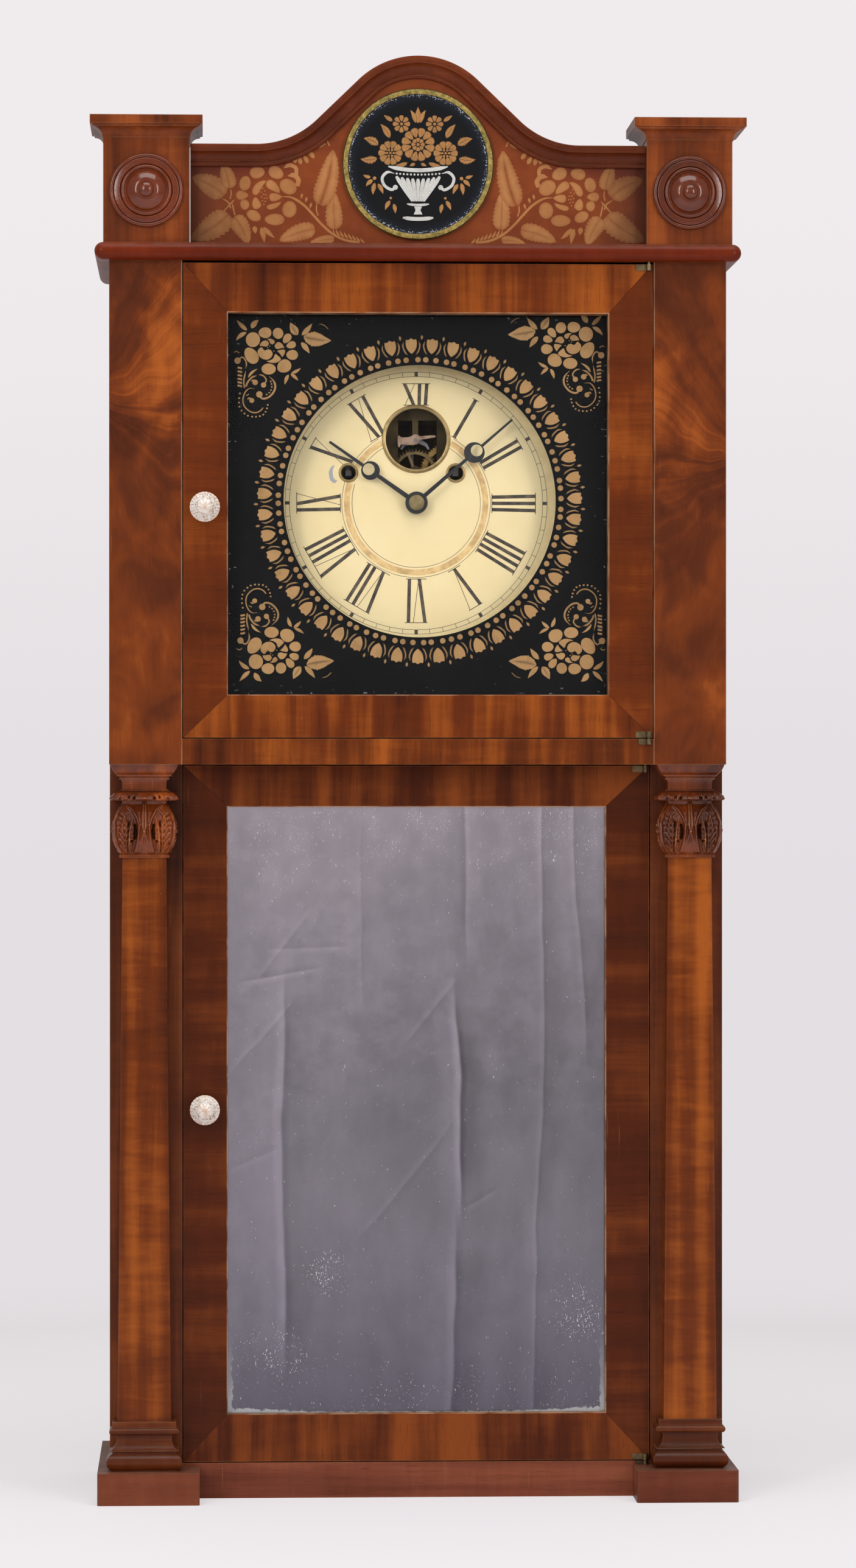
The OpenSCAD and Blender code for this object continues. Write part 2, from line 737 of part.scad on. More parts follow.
// The cord from drum to pulley and over it
module run_of_cord(drum, pulley, side) {
    gap = norm(pulley - drum);
    u = (pulley - drum) / gap;
    n2 = [side * u[1], -side * u[0]];
    s = (wound_r - pulley_cord_r) / gap;
    n = s * u + sqrt(1 - s * s) * n2;
    a = drum + wound_r * n;
    b = pulley + pulley_cord_r * n;
    start = side > 0 ? atan2(n[1], n[0]) : 0;
    turn = side > 0 ? 180 - start : atan2(n[1], n[0]);
    union() {
        translate([a[0], cord_y, a[1]]) rotate([0, 90 - aim(a, b), 0])
            cylinder(r = cord_r, h = norm(b - a), $fn = 16);
        translate([pulley[0], cord_y, pulley[1]]) rotate([90, 0, 0])
            rotate([0, 0, start]) rotate_extrude(angle = turn, $fn = 72)
            translate([pulley_cord_r, 0]) circle(r = cord_r, $fn = 16);
    }
}

module cord_runs() {
    color(cord_colour) {
        run_of_cord(wind_left, [-pulley_x, pulley_z], 1);
        run_of_cord(wind_right, [pulley_x, pulley_z], -1);
    }
}

module door_frame(z0, z1, front, low, high, setback, spindle_z) {
    difference() {
        box(-door_half, door_half, front, front + stile_thick, z0, z1);
        box(-glass_half, glass_half, front - 1, front + stile_thick + 1, z0 + low, z1 - high);
        box(-glass_half - rebate, glass_half + rebate, front + setback,
            front + stile_thick + 1, z0 + low - rebate, z1 - high + rebate);
        rod([-knob_x, spindle_z], spindle_r + run_fit, front - 1, front + stile_thick + 1);
    }
}

module pane(y0, t, z0, z1, low, high) {
    slip = 0.3;
    box(-glass_half - rebate + slip, glass_half + rebate - slip, y0, y0 + t,
        z0 + low - rebate + slip, z1 - high + rebate - slip);
}

module upper_door_frame() {
    color(wood) door_frame(upper_door_low, upper_door_high, face_y, upper_low_rail,
        upper_high_rail, glass_setback, upper_knob_z);
}

module upper_door_glass() {
    color(glass_colour) pane(face_y + glass_setback, glass_thick, upper_door_low,
        upper_door_high, upper_low_rail, upper_high_rail);
}

module glass_painting() {
    y0 = face_y + glass_setback + glass_thick;
    color(black) difference() {
        pane(y0, paint_thick, upper_door_low, upper_door_high, upper_low_rail,
            upper_high_rail);
        rod(centre, clear_round, y0 - 1, y0 + 2);
    }
}

module upper_door_hinges() {
    y = face_y - hinge_reach;
    color(brass_colour) {
        door_barrel(upper_door_high - hinge_barrel, y, face_y);
        door_barrel(upper_door_low, y, face_y);
    }
}

module glass_knob(z, front) {
    color(glass_colour) union() {
        turned([-knob_x, z], front)
            polygon([[0, 0.3], [4.6, 0.3], [4.6, 1.6], [3.4, 3], [3.4, 6], [6, 8.2],
                [9.2, 9.6], [knob_r, 11.6], [knob_r, 13.8], [9.4, 16.4], [7, 18.6],
                [5.2, 19.6], [4.6, knob_reach - 0.8], [0, knob_reach]]);
        rod([-knob_x, z], spindle_r, front - 1, front + stile_thick + 0.3);
    }
}

module turn_latch(z, y0) {
    color(steel_colour) difference() {
        union() {
            rod([-knob_x, z], 5, y0, y0 + latch_thick);
            box(-knob_x - latch_width / 2, -knob_x + latch_width / 2, y0,
                y0 + latch_thick, z - latch_length, z);
        }
        rod([-knob_x, z], spindle_r - 0.8, y0 - 1, y0 + latch_thick + 1);
    }
}

module upper_knob() {
    glass_knob(upper_knob_z, face_y);
}

module upper_latch() {
    turn_latch(upper_knob_z, face_y + stile_thick + 0.3);
}

module lower_door_frame() {
    color(wood) door_frame(lower_door_low, lower_door_high, lower_y, lower_low_rail,
        lower_high_rail, mirror_setback, lower_knob_z);
}

module mirror_glass() {
    color([0.6, 0.6, 0.62]) pane(lower_y + mirror_setback, mirror_thick, lower_door_low,
        lower_door_high, lower_low_rail, lower_high_rail);
}

module mirror_back() {
    color(pine) pane(lower_y + mirror_setback + mirror_thick, mirror_board,
        lower_door_low, lower_door_high, lower_low_rail, lower_high_rail);
}

module lower_door_hinges() {
    y = lower_y - hinge_reach;
    color(brass_colour) {
        door_barrel(lower_door_high - hinge_barrel, y, lower_y);
        door_barrel(lower_door_low, y, lower_y);
    }
}

module lower_knob() {
    glass_knob(lower_knob_z, lower_y);
}

module lower_latch() {
    turn_latch(lower_knob_z, lower_y + stile_thick + 0.3);
}

// A hand drawn upwards, with a ring that has an off-centre eye
module hand_shape(tip, ring_at, ring_r, wide, hole) {
    difference() {
        union() {
            circle(r = hub_r, $fn = 64);
            polygon([[-wide / 2, 0], [wide / 2, 0], [wide / 4, tip], [-wide / 4, tip]]);
            translate([0, ring_at]) circle(r = ring_r, $fn = 64);
        }
        translate([0, ring_at + ring_r - eye_r - 0.9]) circle(r = eye_r, $fn = 48);
        circle(r = hole, $fn = 32);
    }
}

module minute_hand() {
    color(black) slice(dial_y - 7.6, hand_thick) translate(centre) rotate(-minute_angle)
        hand_shape(minute_length, minute_ring_at, minute_ring_r, 3, arbor_r + 0.02);
}

module hour_hand() {
    color(black) slice(dial_y - 4.5, hand_thick) translate(centre) rotate(-hour_angle)
        hand_shape(hour_length, hour_ring_at, hour_ring_r, 3.4, 3.42);
}

// Wheel, pinion and arbor in one piece: levels are measured behind the front plate
module arbor(at, y0, y1) {
    rod(at, arbor_r, y0, y1);
}

module centre_arbor() {
    second_angle = aim(centre, second_at);
    third_angle = aim(centre, third_at);
    color(brass_colour) union() {
        arbor(centre, dial_y - 9, rear_y + plate_thick + 0.3);
        rod(centre, 5.3, dial_y - 8.1, dial_y - 7.6);
        rod(centre, 2.2, dial_y - 7, dial_y - 6.2);
        slice(plate_y - 4.4, 1.6) translate(centre)
            polygon(leaf_ring(12, 0.5, flip_phase(aim(minute_at, centre), 12)));
        slice(inside_y + 4.6, 2.8) translate(centre)
            polygon(leaf_ring(12, 2 * norm(second_at - centre) / 60,
                flip_phase(aim(second_at, centre), 12)));
        slice(inside_y + 19.4, wheel_thick)
            crossed(wheel_ring(64, 2 * norm(third_at - centre) / 72, third_angle), 15.4, 4,
                centre);
    }
}

module hour_wheel() {
    color(brass_colour) difference() {
        union() {
            slice(plate_y - 7.4, 1.4) crossed(wheel_ring(40, 0.48, aim(centre, minute_at)),
                8, 5, centre);
            rod(centre, 3.4, dial_y - 5.4, plate_y - 6);
        }
        rod(centre, arbor_r + run_fit, dial_y - 9, plate_y);
    }
}

module minute_wheel() {
    color(brass_colour) difference() {
        union() {
            slice(plate_y - 4.3, 1.4)
                crossed(wheel_ring(36, 0.5, aim(minute_at, centre)), 7, 3.4, minute_at);
            slice(plate_y - 7.8, 3.6) translate(minute_at)
                polygon(leaf_ring(10, 0.48, flip_phase(aim(centre, minute_at), 10)));
        }
        rod(minute_at, arbor_r + run_fit, plate_y - 20, plate_y);
    }
}

module second_wheel() {
    color(brass_colour) union() {
        arbor(second_at, plate_y - 0.3, rear_y + plate_thick + 0.3);
        slice(inside_y + 5.2, wheel_thick) crossed(
            wheel_ring(48, 2 * norm(second_at - centre) / 60, aim(second_at, centre)), 13.6,
            3.6, second_at);
        slice(inside_y + 8.6, 4) translate(second_at)
            polygon(leaf_ring(8, 2 * norm(second_at - wind_right) / 80,
                flip_phase(aim(wind_right, second_at), 8)));
    }
}

module great_wheel(n, m, phase, at) {
    color(brass_colour) difference() {
        slice(inside_y + 9.7, wheel_thick + 0.4)
            crossed(wheel_ring(n, m, phase), n * m / 2 - 4, 9.5, at);
        rod(at, drum_arbor_r + run_fit, inside_y, rear_y);
    }
}

module time_great_wheel() {
    great_wheel(72, 2 * norm(second_at - wind_right) / 80, aim(wind_right, second_at),
        wind_right);
}

module strike_great_wheel() {
    great_wheel(84, great_module, 0, wind_left);
}

module third_wheel() {
    color(brass_colour) union() {
        arbor(third_at, plate_y - 0.3, rear_y + plate_thick + 0.3);
        slice(inside_y + 18, 4.2) translate(third_at)
            polygon(leaf_ring(8, 2 * norm(third_at - centre) / 72,
                flip_phase(aim(centre, third_at), 8)));
        slice(inside_y + 14.4, wheel_thick)
            crossed(wheel_ring(60, 2 * norm(third_at - escape_at) / 68,
                aim(third_at, escape_at)), 14, 3.4, third_at);
    }
}

module escape_wheel() {
    n = escape_teeth;
    color(brass_colour) union() {
        arbor(escape_at, plate_y - 0.3, rear_y + plate_thick + 0.3);
        slice(inside_y + 2, 1.2) crossed([for (i = [0 : n - 1], k = [0 : 2])
            let(r = k == 1 ? escape_r : escape_r - 2.4,
                a = (i + (k == 0 ? 0 : k == 1 ? 0.12 : 0.5)) * 360 / n)
            [r * cos(a), r * sin(a)]], 12.6, 3.2, escape_at);
        slice(inside_y + 13, 4) translate(escape_at)
            polygon(leaf_ring(8, 2 * norm(third_at - escape_at) / 68,
                flip_phase(aim(third_at, escape_at), 8)));
    }
}

module verge() {
    p = pallet_x;
    back = rear_y + plate_thick + 3.4;
    color(steel_colour) union() {
        arbor(verge_at, plate_y - 5.6, back + 1);
        slice(inside_y + 1.9, 1.4) translate(verge_at)
            polygon([[-p - 1.1, -5.4], [-p, -6.2], [-p + 1.7, -3.9], [-2, -1.6], [2, -1.6],
                [p - 1.7, -3.9], [p, -6.2], [p + 1.1, -5.4], [p - 0.5, -2], [2.4, 2.4],
                [-2.4, 2.4], [-p + 0.5, -2]]);
        box(-0.7, 0.7, back - 0.7, back + 0.7, verge_at[1] - 43, verge_at[1]);
        box(-2.5, 2.5, back - 0.6, back + 0.6, verge_at[1] - 44, verge_at[1] - 42);
        both_sides() rod([1.95, verge_at[1] - 43], 0.6, back - 0.6, pendulum_y + 3);
    }
}

module pointing_hand() {
    color(cream) slice(plate_y - 5.2, 1) translate(verge_at) difference() {
        polygon([[-12.4, -4.4], [-11.2, -5], [-10, -2.9], [-6, -3.4], [-1.5, -3.4],
            [1.6, -2.6], [2.6, -1.2], [3.2, 0.2], [13.9, 2], [14.1, 3.1], [12.6, 3.5],
            [3, 2.7], [1.6, 3.9], [-0.8, 4.1], [-3.4, 2.6], [-6, 1.8], [-10.2, 1.9],
            [-11, 3.3], [-12.4, 2.7]]);
        circle(r = arbor_r + 0.02, $fn = 32);
    }
}

module pendulum_rod() {
    color(brass_colour) union() {
        tube(verge_at, 3, 1.5 + run_fit, pendulum_y - 1, pendulum_y + 1);
        translate([0, pendulum_y, bob_z - bob_r - 4])
            cylinder(r = rod_r, h = verge_at[1] - 2.6 - bob_z + bob_r + 4, $fn = 24);
        translate([0, pendulum_y, bob_z - bob_r - 4.6]) cylinder(r = 4, h = 4.2, $fn = 32);
    }
}

module pendulum_bob() {
    t = bob_thick / 2;
    color(brass_colour) difference() {
        translate([0, pendulum_y, bob_z]) rotate([90, 0, 0]) rotate([0, 0, 37])
            rotate_extrude($fn = 96) polygon([[0, -t], [3, -t], [bob_r * 0.6, -t * 0.82],
                [bob_r * 0.93, -t * 0.4], [bob_r, -1.6], [bob_r, 1.6],
                [bob_r * 0.93, t * 0.4], [bob_r * 0.6, t * 0.82], [3, t], [0, t]]);
        translate([0, pendulum_y, bob_z - 2 * bob_r])
            cylinder(r = rod_r + 0.04, h = 4 * bob_r, $fn = 24);
    }
}

module clock_weight(x) {
    top = weight_low + weight_length;
    color(iron) translate([x, cord_y, 0]) union() {
        translate([0, 0, weight_low]) cylinder(r = weight_r, h = weight_length, $fn = 96);
        translate([0, 0, top]) cylinder(r = 7, h = 5, $fn = 48);
        translate([0, 0, top]) cylinder(r = 2, h = 21, $fn = 24);
    }
}

module drop(x) {
    z = weight_low + weight_length + 21;
    color(cord_colour) translate([x, cord_y, z]) cylinder(r = cord_r, h = pulley_z - z, $fn = 16);
}

module winding_drum(at) {
    color(pine) union() {
        rod(at, drum_arbor_r, plate_y - 4, rear_y + plate_thick + 0.3);
        translate([at[0], plate_y - 8, at[1]])
            cube([2 * drum_arbor_r * 0.68, 12, 2 * drum_arbor_r * 0.68], center = true);
        turned(at, inside_y + 40)
            polygon(concat([[0, 0], [14, 0], [14, 1.6]],
                [for (i = [0 : 5], p = [[0, 0], [1.1, 0.5], [1.1, 1.3]])
                    [drum_r + p[0], 1.6 + i * 1.8 + p[1]]],
                [[drum_r, 12.6], [drum_r, 25.4], [14, 25.4], [14, 27], [9, 27], [9, 28],
                [0, 28]]));
    }
}

module pulley(x) {
    at = [x, pulley_z];
    color(brass_colour) translate([x, cord_y, pulley_z]) rotate([90, 0, 0])
        rotate_extrude($fn = 72) polygon([[1.55, -3.6], [5, -3.6], [5, -2.6], [12, -2.6],
            [12, -3.4], [17.4, -3.4], [17.4, -2.2], [pulley_cord_r - 1.1, -0.9],
            [pulley_cord_r - 1.1, 0.9], [17.4, 2.2], [17.4, 3.4], [12, 3.4], [12, 2.6],
            [5, 2.6], [5, 3.6], [1.55, 3.6]]);
}

module time_weight() {
    clock_weight(pulley_x + pulley_cord_r);
}

module time_drum() {
    winding_drum(wind_right);
}

module time_cord_drop() {
    drop(pulley_x + pulley_cord_r);
}

module time_pulley() {
    pulley(pulley_x);
}

module strike_weight() {
    clock_weight(-pulley_x - pulley_cord_r);
}

module strike_drum() {
    winding_drum(wind_left);
}

module strike_cord_drop() {
    drop(-pulley_x - pulley_cord_r);
}

module strike_pulley() {
    pulley(-pulley_x);
}

module hammer() {
    y = rear_y + plate_thick + 4;
    run = norm(head_at - hammer_at);
    color(iron) union() {
        arbor(hammer_at, plate_y - 0.3, y + 2);
        rod(hammer_at, 3, y - 1.6, y + 1.6);
        translate([hammer_at[0], y, hammer_at[1]])
            rotate([0, 90 - aim(hammer_at, head_at), 0]) cylinder(r = 1.1, h = run, $fn = 20);
        rod(head_at, 2, y - 1.6, inner_back - 8);
        rod(head_at, 6, inner_back - 24, inner_back - 9);
    }
}

backboard();
side_boards();
case_boards();
upper_posts();
lower_stiles();
front_rails();
plinths();
column_bases();
column_shafts();
column_capitals();
cornice();
crest_blocks();
rosettes();
crest_panel();
crest_moulding();
crest_roundel();
dial_plate();
dial_battens();
dial_bezels();
case_hinges();
front_plate();
back_plate();
bell();
pulley_brackets();
cord_runs();
upper_door_frame();
upper_door_glass();
glass_painting();
upper_door_hinges();
upper_knob();
upper_latch();
lower_door_frame();
mirror_glass();
mirror_back();
lower_door_hinges();
lower_knob();
lower_latch();
minute_hand();
centre_arbor();
hour_hand();
hour_wheel();
minute_wheel();
second_wheel();
time_great_wheel();
third_wheel();
escape_wheel();
verge();
pointing_hand();
pendulum_rod();
pendulum_bob();
time_weight();
time_drum();
time_cord_drop();
time_pulley();
strike_weight();
strike_drum();
strike_cord_drop();
strike_pulley();
strike_great_wheel();
hammer();
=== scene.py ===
import bpy
import numpy as np
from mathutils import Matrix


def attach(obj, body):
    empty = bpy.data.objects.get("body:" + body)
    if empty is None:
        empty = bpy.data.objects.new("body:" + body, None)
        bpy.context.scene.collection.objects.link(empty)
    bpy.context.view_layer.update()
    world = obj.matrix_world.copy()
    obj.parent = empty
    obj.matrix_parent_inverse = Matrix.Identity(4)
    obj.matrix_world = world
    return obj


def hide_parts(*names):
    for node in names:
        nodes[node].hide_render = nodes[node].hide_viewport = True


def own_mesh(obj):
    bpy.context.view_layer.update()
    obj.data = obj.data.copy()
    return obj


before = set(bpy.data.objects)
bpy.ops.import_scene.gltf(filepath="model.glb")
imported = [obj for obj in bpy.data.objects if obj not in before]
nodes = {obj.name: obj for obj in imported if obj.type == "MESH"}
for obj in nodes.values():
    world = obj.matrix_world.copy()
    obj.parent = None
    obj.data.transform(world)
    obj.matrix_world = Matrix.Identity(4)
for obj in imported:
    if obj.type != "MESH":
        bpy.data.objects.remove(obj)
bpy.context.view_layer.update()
mm = 0.001
print("frame loaded,", len(nodes), "nodes")


def colour(r, g, b):  # a written 0-255 colour as scene values
    c = np.array([r, g, b]) / 255.0
    lin = np.where(c <= 0.04045, c / 12.92, ((c + 0.055) / 1.055) ** 2.4)
    return (float(lin[0]), float(lin[1]), float(lin[2]), 1.0)


def ink(value):  # three numbers are a written colour; all else stays as it is
    return colour(*value) if isinstance(value, tuple) and len(value) == 3 else value


def scaled(tint, share):
    return tuple(c * share for c in tint)


def operate(operation, swapped=False):  # an arithmetic sign as a Math node
    def method(self, other):
        return self.sheet.math(operation, *((other, self) if swapped else (self, other)))
    return method


class term:  # a shader value that takes part in ordinary arithmetic
    __array_ufunc__ = None  # numpy's numbers leave the work to this class
    __add__, __radd__ = operate("ADD"), operate("ADD", True)
    __sub__, __rsub__ = operate("SUBTRACT"), operate("SUBTRACT", True)
    __mul__, __rmul__ = operate("MULTIPLY"), operate("MULTIPLY", True)
    __truediv__ = operate("DIVIDE")
    __lt__, __gt__ = operate("LESS_THAN"), operate("GREATER_THAN")

    def __init__(self, sheet, socket):
        self.sheet, self.socket = sheet, socket

    def __abs__(self):
        return self.sheet.math("ABSOLUTE", self)

    def clamped(self):  # the node that gives this value holds it between 0 and 1
        self.socket.node.use_clamp = True
        return self


class nodeSheet:  # lays out shader nodes in one tree
    def __init__(self, tree):
        self.tree, self.shader = tree, tree.nodes.get("Principled BSDF")

    def join(self, source, target):
        source = source.socket if isinstance(source, term) else source
        if isinstance(source, (int, float, tuple)):
            target.default_value = source
        else:
            self.tree.links.new(source, target)

    def put(self, kind, values=(), out=0, **settings):  # a node with its inputs joined
        node = self.tree.nodes.new(kind)
        for key, value in settings.items():
            setattr(node, key, value)
        for key, value in dict(values).items():
            self.join(value, node.inputs[key])
        return term(self, node.outputs[out])

    def math(self, operation, *values):
        return self.put("ShaderNodeMath", enumerate(values), operation=operation)

    def most(self, a, b):
        return self.math("MAXIMUM", a, b)

    def least(self, a, b):
        return self.math("MINIMUM", a, b)

    def length(self, a, b):  # of a slanting line that has these two sides
        return self.math("SQRT", a * a + b * b)

    def mix(self, factor, a, b):
        return self.put("ShaderNodeMix", {"Factor": factor, 6: ink(a), 7: ink(b)}, 2,
                        data_type="RGBA")

    def either(self, factor, a, b):  # one of two vectors
        return self.put("ShaderNodeMix", {"Factor": factor, 4: a, 5: b}, 1, data_type="VECTOR")

    def ramp(self, value, stops, smooth=True):
        tone = self.put("ShaderNodeValToRGB", {0: value})
        bar = tone.socket.node.color_ramp
        bar.interpolation = "EASE" if smooth else "LINEAR"
        while len(bar.elements) < len(stops):
            bar.elements.new(0.5)
        for mark, (at, shade) in zip(bar.elements, stops):
            mark.position = at
            mark.color = ink(shade) if isinstance(shade, tuple) else (shade, shade, shade, 1)
        return tone

    def noise(self, vector, scale, detail=3.0, rough=0.55, distort=0.0):
        return self.put("ShaderNodeTexNoise", {
            "Vector": vector, "Scale": scale, "Detail": detail, "Roughness": rough,
            "Distortion": distort})

    def mapped(self, vector, scale=(1, 1, 1), turn=(0, 0, 0), move=(0, 0, 0)):
        return self.put("ShaderNodeMapping", {
            "Vector": vector, "Scale": scale, "Rotation": turn, "Location": move})

    def point(self):
        return self.put("ShaderNodeTexCoord", out="Object")

    def axes(self, vector):
        node = self.put("ShaderNodeSeparateXYZ", {0: vector}).socket.node
        return [term(self, socket) for socket in node.outputs]

    def packed(self, x, y, z):
        return self.put("ShaderNodeCombineXYZ", enumerate((x, y, z)))

    def held(self, name):  # an attribute that the mesh holds for each point
        return self.put("ShaderNodeAttribute", out="Fac", attribute_name=name)

    def group(self, tree, **values):  # a shared effect's outputs, by name
        node = self.tree.nodes.new("ShaderNodeGroup")
        node.node_tree = tree
        for key, value in values.items():
            self.join(value, node.inputs[key])
        return {socket.name: term(self, socket) for socket in node.outputs}

    def direct(self):  # 1 for what the camera sees itself or through clear glass
        return self.most(*[self.put("ShaderNodeLightPath", out=key)
                           for key in ("Is Camera Ray", "Is Transmission Ray")])

    def bumped(self, height, strength, distance):
        return self.put("ShaderNodeBump", {
            "Height": height, "Strength": strength, "Distance": distance})

    def dress(self, **values):  # inputs of the material's shader; _ stands for a space
        for key, value in values.items():
            self.join(ink(value), self.shader.inputs[key.replace("_", " ")])

    def blend(self, factor, a, b, end):  # two shaders, joined to the tree's end node
        both = self.put("ShaderNodeMixShader", {0: factor, 1: a, 2: b})
        self.join(both, self.tree.nodes[end].inputs[0])


def newMaterial(name):
    material = bpy.data.materials.new(name)
    material.use_nodes = True
    return material, nodeSheet(material.node_tree)


def reopened(material):  # the sheet and the present base colour of a finished material
    s = nodeSheet(material.node_tree)
    return s, term(s, s.shader.inputs["Base Color"].links[0].from_socket)


def effectGroup(name, inputs, outputs):  # an empty node group with named sockets
    tree = bpy.data.node_groups.new(name, "ShaderNodeTree")
    for label, value in inputs.items():
        kind = "NodeSocketVector" if value is None else "NodeSocketFloat"
        socket = tree.interface.new_socket(name=label, in_out="INPUT", socket_type=kind)
        if value is not None:
            socket.default_value = value
    for label in outputs:
        tree.interface.new_socket(name=label, in_out="OUTPUT", socket_type="NodeSocketFloat")
    s = nodeSheet(tree)
    given = tree.nodes.new("NodeGroupInput")
    return (tree, s, {socket.name: term(s, socket) for socket in given.outputs},
            tree.nodes.new("NodeGroupOutput").inputs)


def woodGrain():  # long fibres along the third axis, with bands, ripple, pores and slow shading
    tree, s, given, out = effectGroup(
        "woodGrain", {"Vector": None, "Fibre": 1.0, "Bands": 1.0, "Ripple": 1.0}, ["Tone", "Pores"])
    where = given["Vector"]
    bend = s.noise(s.mapped(where, (9, 9, 4)), 1.0, 2.0)
    swayed = s.put("ShaderNodeVectorMath", {0: bend, 1: (0.01, 0.01, 0.0), 2: where},
                   operation="MULTIPLY_ADD")
    fibres = s.noise(s.mapped(swayed, (460, 460, 8)), 1.0, 4.0, 0.62)
    bands = s.noise(s.mapped(swayed, (58, 58, 3.0)), 1.0, 3.0, 0.55)
    slow = s.noise(s.mapped(where, (13, 13, 8)), 1.0, 3.0, 0.5)
    ripple = s.noise(s.mapped(where, (26, 26, 150)), 1.0, 3.0, 0.55, 0.5)
    pores = s.noise(s.mapped(swayed, (1500, 1500, 55)), 1.0, 2.0, 0.6)
    tone = (fibres - 0.5) * given["Fibre"] * 0.30 + 0.5
    tone = tone + (bands - 0.5) * given["Bands"] * 1.5
    tone = tone + (ripple - 0.5) * given["Ripple"] * 0.45
    s.join((tone + (slow - 0.5)).clamped(), out["Tone"])
    s.join(s.ramp(pores, [(0.30, 0.0), (0.42, 1.0)]), out["Pores"])
    return tree


def edgeWearAndHighlight():  # where an edge is rubbed, and where light would catch it as a painted pale highlight, broken up by noise
    tree, s, given, out = effectGroup(
        "edgeWearAndHighlight", {"Vector": None, "Width": 0.0012, "Amount": 0.6}, ["Mask"])
    bevel = s.put("ShaderNodeBevel", {"Radius": given["Width"]}, samples=4)
    flat = s.put("ShaderNodeNewGeometry", out="Normal")
    same = s.put("ShaderNodeVectorMath", {0: bevel, 1: flat}, "Value", operation="DOT_PRODUCT")
    breaks = s.ramp(s.noise(given["Vector"], 90.0, 4.0, 0.6), [(0.30, 0.25), (0.62, 1.0)])
    s.join((same * -6.0 + 6.0).clamped() * breaks * given["Amount"], out["Mask"])
    return tree


def dustVeil():  # grey dust that lies on faces looking up
    tree, s, given, out = effectGroup("dustVeil", {"Vector": None, "Amount": 0.5}, ["Mask"])
    normal = s.put("ShaderNodeNewGeometry", out="Normal")
    up = s.ramp(s.axes(normal)[2], [(0.25, 0.0), (0.9, 1.0)])
    patches = s.ramp(s.noise(given["Vector"], 60.0, 5.0, 0.65), [(0.25, 0.25), (0.7, 1.0)])
    s.join(up * patches * given["Amount"], out["Mask"])
    return tree


def handling():  # thin pale scratches and small knocks in the varnish, in a few places
    tree, s, given, out = effectGroup("handling", {"Vector": None, "Amount": 0.5}, ["Mask"])
    where = given["Vector"]
    lines = 0.0
    for turn, shift in ((0.5, 0.0), (-0.35, 3.1), (1.25, 5.7)):
        drawn = s.noise(s.mapped(where, (620, 12, 14), (0, turn, 0), (shift, 0, shift)), 1.0, 1.0)
        lines = s.most(lines, s.ramp(drawn, [(0.74, 0.0), (0.80, 1.0)]))
    area = s.ramp(s.noise(where, 17.0, 3.0), [(0.50, 0.0), (0.66, 1.0)])
    knocks = s.ramp(s.noise(where, 230.0, 2.0), [(0.77, 0.0), (0.81, 1.0)])
    s.join((lines * area + knocks).clamped() * given["Amount"], out["Mask"])
    return tree


grainTree, wearTree, dustTree, scuffTree = woodGrain(), edgeWearAndHighlight(), dustVeil(), handling()
print("shared effects ready")


# edge is the pale colour of rubbed edges, scuffs and painted edge highlights
wood = {
    "dark": (60, 22, 9), "mid": (102, 46, 17), "light": (150, 80, 30), "edge": (178, 122, 84),
    "roughness": 0.3, "gloss": 0.16, "coat": 0.0, "bump": 0.12, "fibre": 1.0, "bands": 0.8,
    "ripple": 0.6, "pores": 0.3, "level": 0.0, "edgeWidth": 0.0008, "wear": 0.55, "dust": 0.25,
    "scuff": 0.35,
}


def along(s, vector, axis, shift=0.0):  # the fibres' direction becomes the third axis
    x, y, z = s.axes(vector)
    turned = {"z": (x, y, z), "x": (y, z, x), "y": (x, z, y)}[axis]
    return s.mapped(s.packed(*turned), move=(shift, shift * 0.7, shift * 1.3))


def mitredFrame(s, vector, half, low, high, wide):
    # rails have upright fibres and stiles have level ones; the two meet on lines
    # that run from the sight corners to the outer corners
    x, y, z = s.axes(vector)
    side, above, under = (abs(x) - half) / wide[0], (z - high) / wide[2], (low - z) / wide[1]
    apart = side - s.most(above, under)
    isStile = apart > 0.0
    stileAt = s.packed(y + s.math("SIGN", x) * 0.37, z, x)
    railAt = s.packed(x, y + s.math("SIGN", above - under) * 0.23, z)
    gap = s.most(side * wide[0], s.most(above * wide[2], under * wide[1]))
    return s.either(isStile, railAt, stileAt), abs(apart) < 0.012, isStile, gap < 0.00065


def varnished(s, point, base, fibre, look):
    # rubbed edges with a painted pale highlight along them, dust in the upward hollows and a soft
    # sheen over the grain
    wear = s.group(wearTree, Vector=point, Width=look["edgeWidth"], Amount=look["wear"])["Mask"]
    dust = s.group(dustTree, Vector=point, Amount=look["dust"])["Mask"]
    scuff = s.group(scuffTree, Vector=point, Amount=look["scuff"])["Mask"]
    # the pale edge colour goes on rubbed edges as wear and as a painted edge highlight, and on the
    # scuffs
    base = s.mix(scuff, s.mix(wear, base, look["edge"]), look["edge"])
    rough = s.noise(point, 38.0, 3.0) * 0.16 + (look["roughness"] - 0.08)
    s.dress(Base_Color=s.mix(dust, base, (134, 110, 92)), Roughness=(dust * 0.5 + rough).clamped(),
            Specular_IOR_Level=look["gloss"], Coat_Weight=look["coat"], Coat_Roughness=0.14,
            Coat_IOR=1.35, Normal=s.bumped(fibre, look["bump"], 0.0004))


def woodTones(s, tone, look):
    return s.ramp(tone, [(0.15, look["dark"]), (0.5, look["mid"]), (0.85, look["light"])], False)


def withHighlightStripes(s, point, tone, look):  # two soft bright stripes down each column's face, painted highlights such as two lamps would leave
    x = s.axes(point)[0]
    middle, apart, wide, amount = look["stripes"]
    gap = abs(abs(abs(x) - middle) - apart)
    glow = s.ramp((gap * (-1 / wide) + 1.0).clamped(), [(0.0, 0.0), (1.0, 1.0)])
    return ((x > 0.0) * look["rightLift"] + (glow * amount + tone)).clamped()


